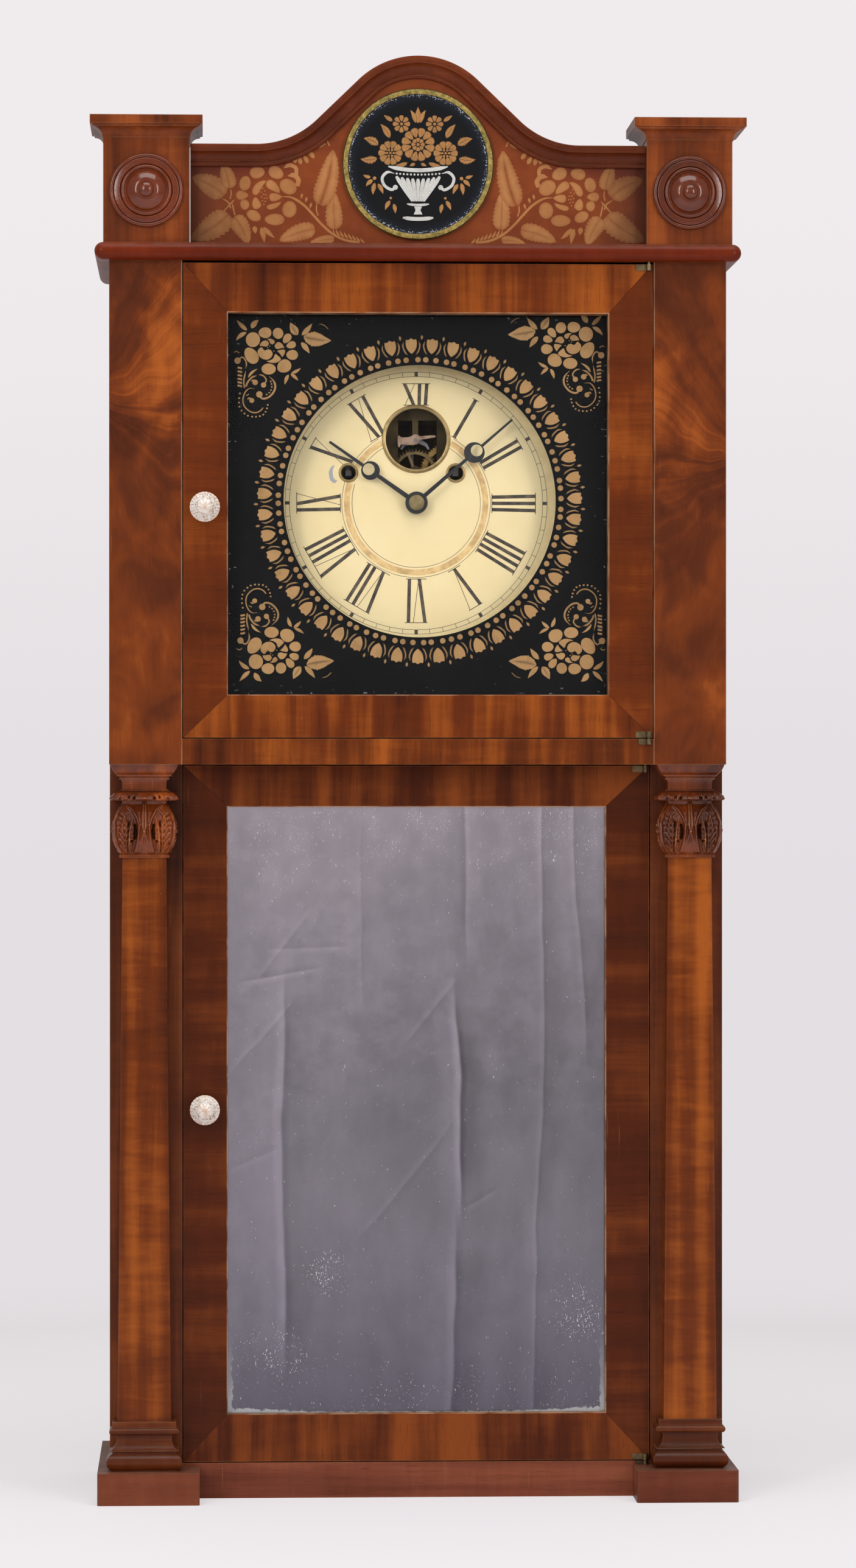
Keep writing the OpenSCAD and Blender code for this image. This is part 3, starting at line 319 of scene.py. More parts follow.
def stained(s, base, look):  # painted shade darkens the carved cuts, and a painted highlight in the pale edge colour lightens the ridges
    held = s.held("relief")
    base = s.mix(s.ramp(held, [(0.10, 0.9), (0.33, 0.0)], False), base, look["stain"])
    return s.mix(s.ramp(held, [(0.62, 0.0), (0.86, look["relief"])], False), base, look["edge"])


def seamed(s, point, base, seam, sight):  # dark mitre lines and a chipped pale sight edge
    broken = s.ramp(s.noise(point, 55.0, 4.0), [(0.38, 0.15), (0.58, 0.85)])
    return s.mix(sight * broken, s.mix(seam * 0.45, base, (40, 16, 9)), (172, 132, 100))


def woodFinish(name, axis="z", look=wood, shift=0.0, frameSizes=None):
    look = {**wood, **look}
    material, s = newMaterial(name)
    point = s.point()
    if frameSizes:
        vector, seam, isStile, sight = mitredFrame(s, point, *frameSizes)
    else:
        vector = along(s, point, axis, shift)
    if "below" in look:  # the low rail's fibres run level
        height, lowLook = look["below"]
        isLow = s.axes(point)[2] < height
        vector = s.either(isLow, vector, along(s, point, "x", shift))
    bands = look["bands"]
    if frameSizes:  # the rails' stripes stand out more than the stiles' do
        bands = isStile * (look["stileBands"] - bands) + bands
    grain = s.group(grainTree, Vector=vector, Fibre=look["fibre"], Bands=bands,
                    Ripple=look["ripple"])
    tone = (grain["Tone"] + look["level"]).clamped()
    if frameSizes:
        tone = tone + (isStile * -look["railLevel"] + look["railLevel"])
    if "stripes" in look:
        tone = withHighlightStripes(s, point, tone, look)
    base = woodTones(s, tone, look)
    if "below" in look:
        base = s.mix(isLow, base, woodTones(s, tone, lowLook))
    base = s.mix(grain["Pores"] * -look["pores"] + look["pores"], base, scaled(look["dark"], 0.55))
    # painted shade in the carved cuts and a painted highlight on the ridges
    if "relief" in look:
        base = stained(s, base, look)
    if frameSizes:
        base = seamed(s, point, base, seam, sight)
    varnished(s, point, base, grain["Pores"], look)
    return material


featherLook = {
    # joint and seam place the painted highlight line at each post's inner edge
    **wood, "apex": (0.236, 0.735), "gloss": 0.12, "joint": 0.162, "seam": 0.0007,
    "field": [(0.0, 0.47), (0.14, 0.50), (0.26, 0.36), (0.40, 0.26), (0.50, 0.42), (0.60, 0.68),
              (0.70, 0.56), (0.82, 0.44), (1.0, 0.42)],
    "tones": [(0.05, (66, 29, 14)), (0.38, (94, 43, 20)), (0.62, (122, 57, 22)),
              (0.98, (170, 88, 34))],
}


def feather(name, look):
    # crotch veneer: dark brown with soft orange clouds, and straight faint streaks that
    # spread like a fan from a point outside each post; both posts carry the same leaf,
    # turned over and slipped a little
    material, s = newMaterial(name)
    point = s.point()
    x, y, z = s.axes(point)
    out, slip = abs(x), s.math("SIGN", x) * 0.02
    high = z + slip
    flat = s.packed(out, y * 0.3 + slip, high)
    warp = s.noise(s.mapped(flat, (22, 14, 16)), 1.0, 2.0, 0.5)
    side = look["apex"][0] - out
    up = (warp - 0.5) * 0.05 + (high - look["apex"][1])
    t = s.math("ARCTANGENT", up / side) * (1 / np.pi) + 0.5
    clouds = s.noise(s.mapped(flat, (30, 12, 22), move=(3.7, 0.0, 1.1)), 1.0, 3.0, 0.5, 0.6)
    glow = s.ramp(s.noise(s.mapped(flat, (20, 9, 13), move=(7.2, 1.0, 2.6)), 1.0, 3.0, 0.55, 0.8),
                  [(0.48, 0.0), (0.66, 1.0)])
    rays = s.noise(s.packed(t * 26.0, side * 9.0, y), 1.0, 3.0, 0.55)
    hair = s.noise(s.packed(t * 190.0, side * 12.0, y), 1.0, 3.0, 0.6)
    fine = s.noise(s.mapped(point, (700, 300, 60)), 1.0, 3.0, 0.6)
    zone = s.ramp(t, [(0.15, 0.25), (0.5, 1.0), (0.75, 0.9), (0.95, 0.3)])
    tone = (clouds - 0.5) * 1.05 + s.ramp(t, look["field"], False)
    tone = (rays - 0.5) * zone * 0.95 + tone
    tone = (hair - 0.5) * zone * 0.34 + tone
    tone = (glow * 0.2 + ((fine - 0.5) * 0.16 + tone)).clamped()
    # a pale line along each post's inner edge, where it meets the door, is a painted highlight
    broken = s.ramp(s.noise(point, 30.0, 4.0), [(0.36, 0.2), (0.6, 0.8)])
    base = s.mix((out - look["joint"] < look["seam"]) * broken,
                 s.ramp(tone, look["tones"], False), (156, 116, 92))
    varnished(s, point, base, fine, look)
    return material


def metal(name, tint, rough, tarnish, stain=(70, 48, 26)):
    # brushed metal that has gone dull and brown in patches
    material, s = newMaterial(name)
    point = s.point()
    blots = s.ramp(s.noise(point, 70.0, 5.0, 0.65), [(0.38, 0.0), (0.72, 1.0)])
    fine = s.noise(s.mapped(point, (900, 120, 900)), 1.0, 3.0)
    shade = s.mix(blots * tarnish, tint, stain)
    s.dress(Base_Color=s.mix(fine * 0.25, shade, scaled(tint, 0.6)), Metallic=1.0,
            Roughness=(blots * 0.3 + rough).clamped(), Normal=s.bumped(fine, 0.1, 0.0003))
    return material


def castIron(name):  # sand-cast skin with rust in the low spots
    material, s = newMaterial(name)
    point = s.point()
    sand = s.noise(point, 900.0, 4.0, 0.6)
    blots = s.ramp(s.noise(point, 45.0, 6.0, 0.7), [(0.45, 0.0), (0.7, 1.0)])
    shade = s.mix(blots * 0.7, (52, 48, 46), (96, 58, 38))
    s.dress(Base_Color=s.mix(sand * 0.35, shade, (22, 20, 20)), Roughness=sand * 0.2 + 0.5,
            Normal=s.bumped(sand, 0.5, 0.0005))
    return material


def paint(name, tint, other, amount, scale, rough, grain=0.12, level=0.4):
    # brushed or sprayed paint, blotched towards a second colour, with fine stipple
    material, s = newMaterial(name)
    point = s.point()
    blots = s.ramp(s.noise(point, scale, 5.0, 0.6), [(0.3, 0.0), (0.72, 1.0)])
    stipple = s.noise(point, 1900.0, 3.0, 0.7)
    shade = s.mix(blots * amount, tint, other)
    spots = s.ramp(stipple, [(0.35, 1.0), (0.6, 0.0)])
    s.dress(Base_Color=s.mix(spots * grain, shade, scaled(tint, 0.55)),
            Roughness=blots * 0.12 + rough, Specular_IOR_Level=level,
            Normal=s.bumped(stipple, 0.08, 0.0002))
    return material


groundLosses = {"half": 0.1307, "low": 0.555, "high": 0.817, "tint": (126, 128, 136),
                "limit": 0.80, "amount": 0.7}


def flecked(material, look):  # small pale losses in the paint, most near the edges
    s, before = reopened(material)
    point = s.point()
    x, y, z = s.axes(point)
    near = s.least(look["half"] - abs(x), s.least(z - look["low"], look["high"] - z))
    zone = s.ramp(near * 10.0, [(0.0, 0.10), (0.13, 0.035), (0.4, 0.0)])
    fleck = s.most(s.noise(point, 420.0, 2.0, 0.6), s.noise(
        s.mapped(point, (150, 150, 620), (0, 0.5, 0)), 1.0, 2.0, 0.5))
    gone = (fleck + zone > look["limit"]) * look["amount"]
    s.dress(Base_Color=s.mix(gone, before, look["tint"]))


crestTint = {
    # under and dim are the colours of painted shade
    "ground": (134, 62, 21), "other": (116, 49, 16), "dim": (60, 25, 11), "under": (110, 42, 22),
    "powder": (184, 126, 76), "powderOther": (168, 112, 62),
}


def crestPaint(name, look, powder=False):
    # brick-coloured ground, with painted shade making it browner towards the end blocks and
    # under the moulding; the stencil's tan powder lies over it wherever its shade attribute is high
    material, s = newMaterial(name)
    point = s.point()
    x, y, z = s.axes(point)
    out = abs(x)
    cloud = s.noise(point, 30.0, 4.0, 0.6)
    fine = s.noise(s.mapped(point, (1500, 1500, 240)), 1.0, 3.0, 0.6)
    shade = s.mix(s.ramp(cloud, [(0.35, 0.0), (0.68, 1.0)]), look["ground"], look["other"])
    # painted shadow under the moulding: darker near the top, towards the sides
    under = (s.ramp(z * 100.0 - 90.6, [(0.1, 0.0), (1.0, 0.8)])
             * s.ramp(out * 20.0 - 1.5, [(0.0, 0.0), (0.5, 1.0)]))
    shade = s.mix(under, shade, look["under"])
    if powder:
        uneven = s.ramp(s.noise(point, 900.0, 3.0, 0.7), [(0.3, 0.12), (0.6, 0.0)])
        patches = s.ramp(s.noise(point, 85.0, 3.0), [(0.25, 0.8), (0.6, 1.0)])
        tan = s.mix(s.ramp(cloud, [(0.3, 0.0), (0.7, 1.0)]), look["powder"], look["powderOther"])
        shade = s.mix((s.held("shade") * patches - uneven).clamped(), shade, tan)
    # painted shade, darker towards the end blocks, over ground and powder alike
    far = (out * 22.0 - 2.5).clamped()
    dim = s.ramp(cloud * 0.3 + (far - 0.15), [(0.05, 0.0), (1.0, 0.8)], False)
    s.dress(Base_Color=s.mix(dim, shade, look["dim"]), Roughness=cloud * 0.14 + 0.42,
            Specular_IOR_Level=0.2, Normal=s.bumped(fine, 0.1, 0.0002))
    return material


roundelTint = {
    "middle": (0.0, 0.920), "field": (8, 9, 12), "ring": (146, 126, 66), "ringPale": (196, 166, 92),
    "ringDark": (92, 84, 46), "speck": (206, 212, 224), "haze": (24, 29, 40),
    "inner": 0.0480, "outer": 0.0517, "fade": 0.0065,
}


def roundelPaint(name, look):
    # black field; a band of blue-white spatter that thins inward; a thin line; a mottled
    # ring of old gold with a line at its outer edge
    material, s = newMaterial(name)
    point = s.point()
    x, y, z = s.axes(point)
    r = s.length(x - look["middle"][0], z - look["middle"][1])
    reach = ((r - look["inner"]) * (1 / look["fade"]) + 1.0).clamped()
    spatter = s.noise(point, 1250.0, 3.0, 0.6)
    drops = s.ramp(spatter + (reach * 0.34 - 0.34), [(0.53, 0.0), (0.57, 1.0)], False)
    shade = s.mix(reach * 0.85, look["field"], look["haze"])
    shade = s.mix(drops * s.ramp(reach, [(0.0, 0.0), (0.25, 0.9)]), shade, look["speck"])
    mottle = s.noise(point, 420.0, 4.0, 0.65)
    gold = s.ramp(mottle, [(0.30, look["ringDark"]), (0.50, look["ring"]),
                           (0.72, look["ringPale"])], False)
    shade = s.mix(r > look["inner"], shade, gold)
    for at in (look["inner"], look["outer"]):
        shade = s.mix((abs(r - at) < 0.00028) * 0.9, shade, (20, 18, 14))
    s.dress(Base_Color=shade, Roughness=0.42, Specular_IOR_Level=0.2,
            Normal=s.bumped(mottle, 0.15, 0.0002))
    return material


def clearGlass(name):  # old cylinder glass with a slow wave; it lets shadows through
    material, s = newMaterial(name)
    wave = s.noise(s.mapped(s.point(), (14, 14, 9)), 1.0, 2.0)
    s.dress(Base_Color=(252, 253, 252), Metallic=0.0, Transmission_Weight=1.0, IOR=1.16,
            Roughness=0.0, Normal=s.bumped(wave, 0.05, 0.002))
    s.blend(s.put("ShaderNodeLightPath", out="Is Shadow Ray"), s.shader.outputs[0],
            s.put("ShaderNodeBsdfTransparent"), "Material Output")
    return material


knobTint = {
    "centre": (-0.1465, 0.683, 0.269), "ring": (0.0046, 0.0092), "eye": (224, 176, 140),
    "milk": [(0.3, (255, 247, 238)), (0.7, (236, 206, 182))],
    # the last ramp is painted glints and dark facet reflections
    "paintedGlints": [(0.0, (138, 104, 82)), (0.2, (218, 186, 162)), (0.45, (250, 238, 226)),
               (0.8, (255, 254, 250))],
}


def pressedGlass(name, look):
    # flint glass pressed over foil: a sparkling ring of small bright and dark cells painted
    # as glints, between two radii round either knob's middle, milky with a warm eye inside it
    material, s = newMaterial(name)
    point = s.point()
    x, y, z = s.axes(point)
    cx, high, low = look["centre"]
    inner, outer = look["ring"]
    r = s.length(x - cx, s.least(abs(z - high), abs(z - low)))
    cells = s.put("ShaderNodeTexVoronoi", {"Vector": point, "Scale": 1250.0}, "Color")
    paintedGlints = s.ramp(s.axes(cells)[0], look["paintedGlints"], False)
    eye = s.ramp(r * 100.0, [(0.0, 1.0), (0.22, 0.0)])
    calm = s.mix(eye * 0.5, s.ramp(s.noise(point, 420.0, 3.0), look["milk"]), look["eye"])
    s.dress(Base_Color=s.mix((r > inner) * (r < outer) * 0.85, calm, paintedGlints), Roughness=0.1,
            Metallic=0.0, Transmission_Weight=0.12, IOR=1.5, Coat_Weight=0.7, Coat_Roughness=0.05)
    return material


mirrorLook = {
    # the tones top, middle and bottom, and the folds and creases below, paint the mirror's
    # reflection into its colour
    "top": (206, 195, 205), "middle": (153, 147, 156), "bottom": (103, 100, 110),
    "half": 0.13075, "low": 0.05825, "high": 0.47775, "rough": 0.12,
    "reflectionFolds": [(0.155, 0.01, 1.5, 0.05, 0.74, 0.10), (0.36, 0.00, 0.35, 0.62, 1.0, 0.05),
              (0.61, -0.015, 2.0, 0.30, 0.73, 0.09), (0.60, 0.0, 1.3, -0.1, 0.34, 0.10),
              (0.635, 0.0, -0.7, 0.72, 1.1, 0.07), (0.83, 0.01, 0.8, -0.1, 1.1, 0.06),
              (0.945, -0.02, 0.7, 0.55, 1.1, 0.06)],
    "reflectionCreases": [(0.60, 0.49, 0.34, 0.28, 0.6), (0.62, 0.72, 0.45, 0.60, 0.6),
                (0.20, 0.69, 0.0, 0.55, 0.6), (0.02, 0.71, 0.26, 0.735, 1.0),
                (0.10, 0.765, 0.34, 0.77, 0.6), (0.24, 0.83, 0.06, 0.70, 0.5),
                (0.62, 0.335, 0.72, 0.37, 0.6), (0.0, 0.40, 0.16, 0.44, 0.5)],
    "foxed": [(0.25, 0.23, 0.09, 0.05), (0.92, 0.16, 0.10, 0.07), (0.12, 0.10, 0.12, 0.05)],
    "reflectionFoldTone": [(0.0, 0.5), (0.34, 0.58), (0.47, 0.76), (0.52, 0.28), (0.62, 0.38), (1.0, 0.5)],
    "reflectionCreaseTone": [(0.0, 0.5), (0.42, 0.72), (0.54, 0.36), (1.0, 0.5)],
    "foxedTone": [(0.0, 0.42), (0.15, 0.16), (0.78, 0.14), (1.0, 0.52)],
    "speck": (224, 222, 224), "rim": (70, 72, 84), "bare": (196, 198, 200),
}


def paintedReflectionFolds(s, lit, wander, rise, look):  # upright folds in the painted reflection: a slow rise that breaks to dark
    for at, slant, amount, low, high, wide in look["reflectionFolds"]:
        line = rise * (-slant * 2) + (wander + (slant - at))
        step = s.ramp((line * (0.5 / wide) + 0.5).clamped(), look["reflectionFoldTone"])
        zone = (rise * 9.0 - 9.0 * low).clamped() * (rise * -9.0 + 9.0 * high).clamped()
        lit = (step - 0.5) * zone * amount + lit
    return lit


def paintedReflectionCreases(s, lit, wander, rise, look):  # slanting creases in the painted reflection, by the distance from each slanting line's length
    tall = (look["high"] - look["low"]) / (2 * look["half"])
    for x0, z0, x1, z1, amount in look["reflectionCreases"]:
        dx, dz = x1 - x0, (z1 - z0) * tall
        size = float(np.hypot(dx, dz))
        px, pz = wander - x0, (rise - z0) * tall
        run = px * (dx / size) + pz * (dz / size)
        off = px * (-dz / size) + pz * (dx / size)
        inside = (run * (size - run) * (6.0 / size ** 2)).clamped()
        step = s.ramp((off * 24.0 + 0.5).clamped(), look["reflectionCreaseTone"])
        lit = (step - 0.5) * inside * amount + lit
    return lit


def foxing(s, point, across, rise, region, look):  # short bright scratches and dots
    zones = s.ramp(rise, look["foxedTone"])
    for cx, cz, wx, wz in look["foxed"]:
        ax, az = (across - cx) * (1 / wx), (rise - cz) * (1 / wz)
        zones = s.most(zones, ((ax * ax + az * az) * -0.5 + 0.75).clamped())
    limit = zones * region * -0.21 + 0.765
    dots = 0.0
    for scale, turn in (((1300, 1300, 360), 0.0), ((760, 760, 1300), 0.6)):
        speck = s.noise(s.mapped(point, scale, (0, turn, 0)), 1.0, 2.0, 0.5)
        dots = s.most(dots, ((speck - limit) * 28.0).clamped())
    return dots


def lostEdge(s, point, rise, look):  # a ragged loss along the foot, and its dark rim
    x, y, z = s.axes(point)
    edge = s.least(look["half"] - abs(x), z - look["low"])
    ragged = s.noise(point, 190.0, 5.0, 0.7) * 0.0105
    corner = s.ramp((abs(x) * 9.0 - 0.5).clamped(), [(0.0, 0.25), (1.0, 1.0)])
    depth = ragged * corner - (edge + 0.0004)
    foot = s.ramp(rise, [(0.0, 1.0), (0.07, 0.35), (0.14, 0.0)])
    rim = s.ramp(depth * 250.0, [(0.0, 0.0), (0.02, 0.45)]) * foot
    return (depth * 1100.0).clamped() * foot, rim


def oldMirror(name, look):
    # thin tin and quicksilver over wavy glass, with a painted reflection: lighter above and
    # to the left, with upright folds and slanting creases; scratches at the top and in a few
    # foxed patches; and a pale lost border along the foot
    material, s = newMaterial(name)
    point = s.point()
    x, y, z = s.axes(point)
    across = x * (0.5 / look["half"]) + 0.5
    rise = (z - look["low"]) / (look["high"] - look["low"])
    tones = [(0.0, look["bottom"]), (0.5, look["middle"]), (1.0, look["top"])]
    # shaded and lit copies of the tones, for the painted reflection
    dark, pale = [s.ramp(rise, [(at, tuple(min(c * k, 250) for c in tone)) for at, tone in tones],
                         False) for k in (0.72, 1.2)]
    sway = s.noise(s.mapped(point, (9, 9, 5)), 1.0, 3.0) - 0.5
    wander = sway * 0.085 + across
    lit = paintedReflectionCreases(s, paintedReflectionFolds(s, across * -0.24 + 0.66, wander, rise, look), wander, rise, look)
    weave = s.noise(s.mapped(point, (60, 60, 24)), 1.0, 4.0, 0.6)
    lit = (sway * 0.5 + ((weave - 0.5) * 0.35 + lit)).clamped()
    region = s.ramp(s.noise(point, 55.0, 4.0, 0.65), [(0.34, 0.35), (0.66, 1.0)])
    dots = foxing(s, point, across, rise, region, look)
    lost, rim = lostEdge(s, point, rise, look)
    shade = s.mix(dots * 0.75, s.mix(lit, dark, pale), look["speck"])
    shade = s.mix(lost * 0.8, s.mix(rim, shade, look["rim"]), look["bare"])
    s.dress(Base_Color=shade, Metallic=((dots + lost) * -0.8 + 1.0).clamped(),
            Roughness=region * 0.1 + look["rough"])
    return material


def toned(dark, mid, light, **rest):  # a wood's three tones and what else sets it apart
    return {"dark": dark, "mid": mid, "light": light, **rest}


mahogany = {
    "crossBand": woodFinish("crossBandedVeneer", look=toned(
        (66, 27, 9), (108, 47, 15), (160, 82, 27), bands=0.95, stileBands=0.26, ripple=0.5,
        fibre=0.5, gloss=0.12, railLevel=0.03),
        frameSizes=(0.13075, 0.55495, 0.817, (0.0305, 0.0295, 0.034))),
    "crossBandLow": woodFinish("lowerDoorVeneer", look=toned(
        (52, 20, 8), (84, 35, 12), (134, 66, 24), bands=0.9, stileBands=0.36, ripple=0.4,
        fibre=0.5, gloss=0.12, railLevel=0.15),
        frameSizes=(0.13075, 0.05825, 0.47775, (0.0305, 0.033, 0.0285))),
    "feather": feather("featherVeneer", featherLook),
    "rail": woodFinish("railVeneer", "z", toned(
        (66, 27, 9), (108, 49, 16), (160, 82, 27), bands=1.1, fibre=0.6, gloss=0.12,
        below=(0.1, toned((102, 51, 35), (124, 65, 45), (148, 82, 58)))), 0.4),
    "stile": woodFinish("stileWood", "z", toned(
        (52, 21, 9), (94, 43, 18), (130, 66, 28), bands=0.6, pores=0.15, edge=(150, 100, 72)), 0.8),
    # the shaft's two bright stripes are painted highlights
    "shaft": woodFinish("shaftWood", "z", toned(
        (64, 26, 9), (108, 48, 16), (164, 85, 28), pores=0.1, bands=0.4, ripple=0.9, fibre=0.6,
        roughness=0.26, level=-0.04, stripes=(0.188, 0.0085, 0.0075, 0.18), rightLift=0.08,
        edge=(176, 122, 88), gloss=0.14), 1.6),
    "base": woodFinish("baseWood", "x", toned(
        (50, 18, 4), (88, 36, 9), (126, 64, 28), dust=0.12, edge=(160, 116, 88), gloss=0.22), 1.9),
    # the carved wood's darkest tint is painted shade in the cuts, and relief sets how much painted
    # highlight the ridges get
    "carved": woodFinish("carvedWood", "z", toned(
        (74, 27, 6), (124, 54, 14), (176, 90, 30), wear=0.25, edge=(214, 146, 98), dust=0.02,
        roughness=0.15, gloss=0.4, coat=0.22, relief=0.62, pores=0.1, stain=(34, 13, 7)), 2.2),
    "plinth": woodFinish("plinthWood", "x", toned(
        (86, 39, 24), (106, 51, 32), (130, 68, 44), bands=0.4, dust=0.35, fibre=0.6,
        edge=(160, 112, 88)), 3.1),
    "block": woodFinish("crestBlockWood", "z", toned(
        (78, 33, 13), (122, 56, 22), (160, 83, 35), bands=0.8, edge=(170, 118, 84)), 2.7),
    "cornice": woodFinish("corniceWood", "x", toned(
        (80, 24, 8), (106, 35, 11), (136, 54, 21), bands=0.5, edge=(150, 80, 56), gloss=0.12), 4.4),
    "edging": woodFinish("crestEdgeWood", "x", toned(
        (70, 28, 12), (101, 43, 19), (136, 66, 31), bands=0.4, edge=(156, 96, 68)), 5.5),
    "rosette": woodFinish("rosetteWood", "x", toned(
        (60, 20, 3), (104, 40, 9), (140, 60, 26), bands=0.3, roughness=0.13, edge=(196, 138, 104),
        edgeWidth=0.0004, gloss=0.5, coat=0.25, wear=0.3, dust=0.05), 6.5),
    "side": woodFinish("sideWood", "z", toned(
        (70, 30, 13), (106, 50, 21), (140, 75, 34), bands=0.5, roughness=0.42), 7.3),
}


drumLook = toned((110, 76, 44), (160, 118, 74), (190, 152, 104), bands=0.4, roughness=0.55,
                 middle=-0.00975, apart=0.03725, high=0.7095, arbor=0.0046, iron=(58, 54, 52))


def drumFinish(name, look):
    # turned beech with an iron arbor through it: iron within a small radius of either axis
    material = woodFinish(name, "y", look, 9.9)
    s, before = reopened(material)
    x, y, z = s.axes(s.point())
    r = s.length(abs(x - look["middle"]) - look["apart"], z - look["high"])
    s.dress(Base_Color=s.mix(r < look["arbor"], before, look["iron"]))
    return material


oldPine = toned((98, 56, 31), (148, 95, 58), (182, 127, 84), bands=0.5, roughness=0.66, gloss=0.1,
                edge=(164, 126, 92), pores=0.2)


boardLook = {
    **oldPine, "ripple": 0.35, "bands": 0.9, "damp": (74, 52, 38), "joint": 0.043,
    "gap": (36, 24, 16), "nails": (0.1975, 0.0675), "head": 0.0021, "rust": (64, 40, 27),
    "iron": (44, 38, 36),
}


def nailedBoards(name, look):
    # two boards glued side by side, planed across, darker towards the foot, and held by
    # iron nails with rust round each along both edges
    material = woodFinish(name, "z", look, 8.1)
    s, shade = reopened(material)
    point = s.point()
    x, y, z = s.axes(point)
    damp = s.noise(s.mapped(point, (9, 9, 5)), 1.0, 4.0)
    shade = s.mix(s.ramp(damp * 0.25 + z, [(0.08, 0.55), (0.30, 0.0)]), shade, look["damp"])
    gap = abs(x - look["joint"])
    shade = s.mix(s.ramp(gap * 100.0, [(0.05, 0.9), (0.12, 0.0)]), shade, look["gap"])
    r = s.length(abs(x) - look["nails"][0], s.math("PINGPONG", z, look["nails"][1]))
    shade = s.mix(s.ramp(r * 100.0, [(0.2, 0.75), (0.75, 0.0)]), shade, look["rust"])
    s.dress(Base_Color=s.mix(r < look["head"], shade, look["iron"]))
    return material


dialChip = {"at": (-0.0570, 0.7085), "r": 0.0036, "shift": (0.0022, 0.0012),
            "tint": (128, 136, 152)}


def chipped(material, look):
    # a crescent where the paint has come off: inside one circle but outside another
    s, before = reopened(material)
    point = s.point()
    x, y, z = s.axes(point)
    first, second = [s.length(x - (look["at"][0] + k * look["shift"][0]),
                              (z - (look["at"][1] + k * look["shift"][1])) * 0.6) for k in (0, 1)]
    wobble = s.noise(point, 700.0, 3.0) * 0.0012 - 0.0006
    gone = (first + wobble < look["r"]) * (second + wobble > look["r"] * 0.9)
    s.dress(Base_Color=s.mix(gone * 0.85, before, look["tint"]))


pine = woodFinish("oldPine", "z", oldPine, 8.1)
pineAcross = woodFinish("oldPineAcross", "x", oldPine, 9.1)
backPine = nailedBoards("nailedPine", boardLook)
turnedBeech = drumFinish("turnedDrumWood", drumLook)
metalLook = {  # colour, roughness, share of tarnish and the tarnish's own colour
    "dullBrass": ((176, 142, 84), 0.32, 0.6),
    "hingeBrass": ((138, 118, 86), 0.4, 0.75, (46, 34, 24)),
    "cleanBrass": ((214, 186, 128), 0.22, 0.25, (120, 92, 54)),
    "bezelBrass": ((166, 142, 98), 0.34, 0.5, (70, 54, 34)),
    "nutBrass": ((140, 124, 88), 0.4, 0.7, (62, 52, 38)),
    # the plates and the escape wheel, seen through the dial's window, are darkened for tarnish and
    # as painted shade of the dim case
    "plateBrassWithPaintedShade": ((80, 68, 46), 0.45, 0.75, (36, 29, 21)),
    "trainBrassWithPaintedShade": ((116, 98, 66), 0.42, 0.8, (52, 42, 29)),
    "gunSteel": ((120, 120, 124), 0.32, 0.4, (58, 44, 36)),
    "bellMetal": ((128, 104, 74), 0.34, 0.6, (60, 46, 34)),
}
metals = {key: metal(key, *values) for key, values in metalLook.items()}
black = paint("japannedBlack", (18, 18, 21), (30, 30, 34), 0.6, 60.0, 0.3)
groundBlack = paint("glassGround", (8, 8, 9), (15, 15, 17), 0.7, 22.0, 0.6, 0.03, 0.04)
flecked(groundBlack, groundLosses)
cream = paint("dialCream", (217, 199, 154), (209, 185, 133), 0.7, 14.0, 0.42, 0.03, 0.3)
chipped(cream, dialChip)
cordStuff = paint("waxedCord", (150, 122, 84), (112, 88, 58), 0.7, 90.0, 0.8)
handPaint = paint("paintedHand", (152, 126, 104), (104, 74, 58), 0.8, 210.0, 0.5)
crestPowder = crestPaint("crestStencil", crestTint, True)
knobGlass = pressedGlass("pressedGlass", knobTint)

for finish, nodeNames in (
        (backPine, "backboard"), (pineAcross, "case_boards mirror_back"), (pine, "dial_battens"),
        (mahogany["side"], "side_boards"), (mahogany["feather"], "upper_posts"),
        (mahogany["stile"], "lower_stiles"), (mahogany["rail"], "front_rails"),
        (mahogany["plinth"], "plinths"), (mahogany["shaft"], "column_bases column_shafts"),
        (mahogany["carved"], "column_capitals"), (mahogany["cornice"], "cornice"),
        (mahogany["block"], "crest_blocks"), (mahogany["rosette"], "rosettes"),
        (mahogany["edging"], "crest_moulding"), (mahogany["crossBand"], "upper_door_frame"),
        (mahogany["crossBandLow"], "lower_door_frame"), (turnedBeech, "time_drum strike_drum"),
        (crestPaint("crestGround", crestTint), "crest_panel"), (cream, "dial_plate"),
        (black, "crest_roundel minute_hand hour_hand"), (groundBlack, "glass_painting"),
        (clearGlass("windowGlass"), "upper_door_glass"), (handPaint, "pointing_hand"),
        (oldMirror("agedMirror", mirrorLook), "mirror_glass"),
        (castIron("castIron"), "time_weight strike_weight"),
        (cordStuff, "cord_runs time_cord_drop strike_cord_drop"),
        (metals["bezelBrass"], "dial_bezels"), (metals["bellMetal"], "bell"),
        (metals["plateBrassWithPaintedShade"], "front_plate back_plate"), (metals["nutBrass"], "centre_arbor"),
        (metals["hingeBrass"], "case_hinges upper_door_hinges lower_door_hinges"),
        (metals["cleanBrass"], "upper_knob lower_knob"), (metals["trainBrassWithPaintedShade"], "escape_wheel"),
        (metals["gunSteel"], "pulley_brackets upper_latch lower_latch verge hammer"),
        (metals["dullBrass"], "hour_wheel minute_wheel second_wheel time_great_wheel third_wheel"
                              " pendulum_rod pendulum_bob time_pulley strike_pulley"
                              " strike_great_wheel")):
    for nodeName in nodeNames.split():
        slots = nodes[nodeName].data.materials
        for index in range(len(slots)):
            slots[index] = finish
        if not len(slots):
            slots.append(finish)
print("finishes assigned")


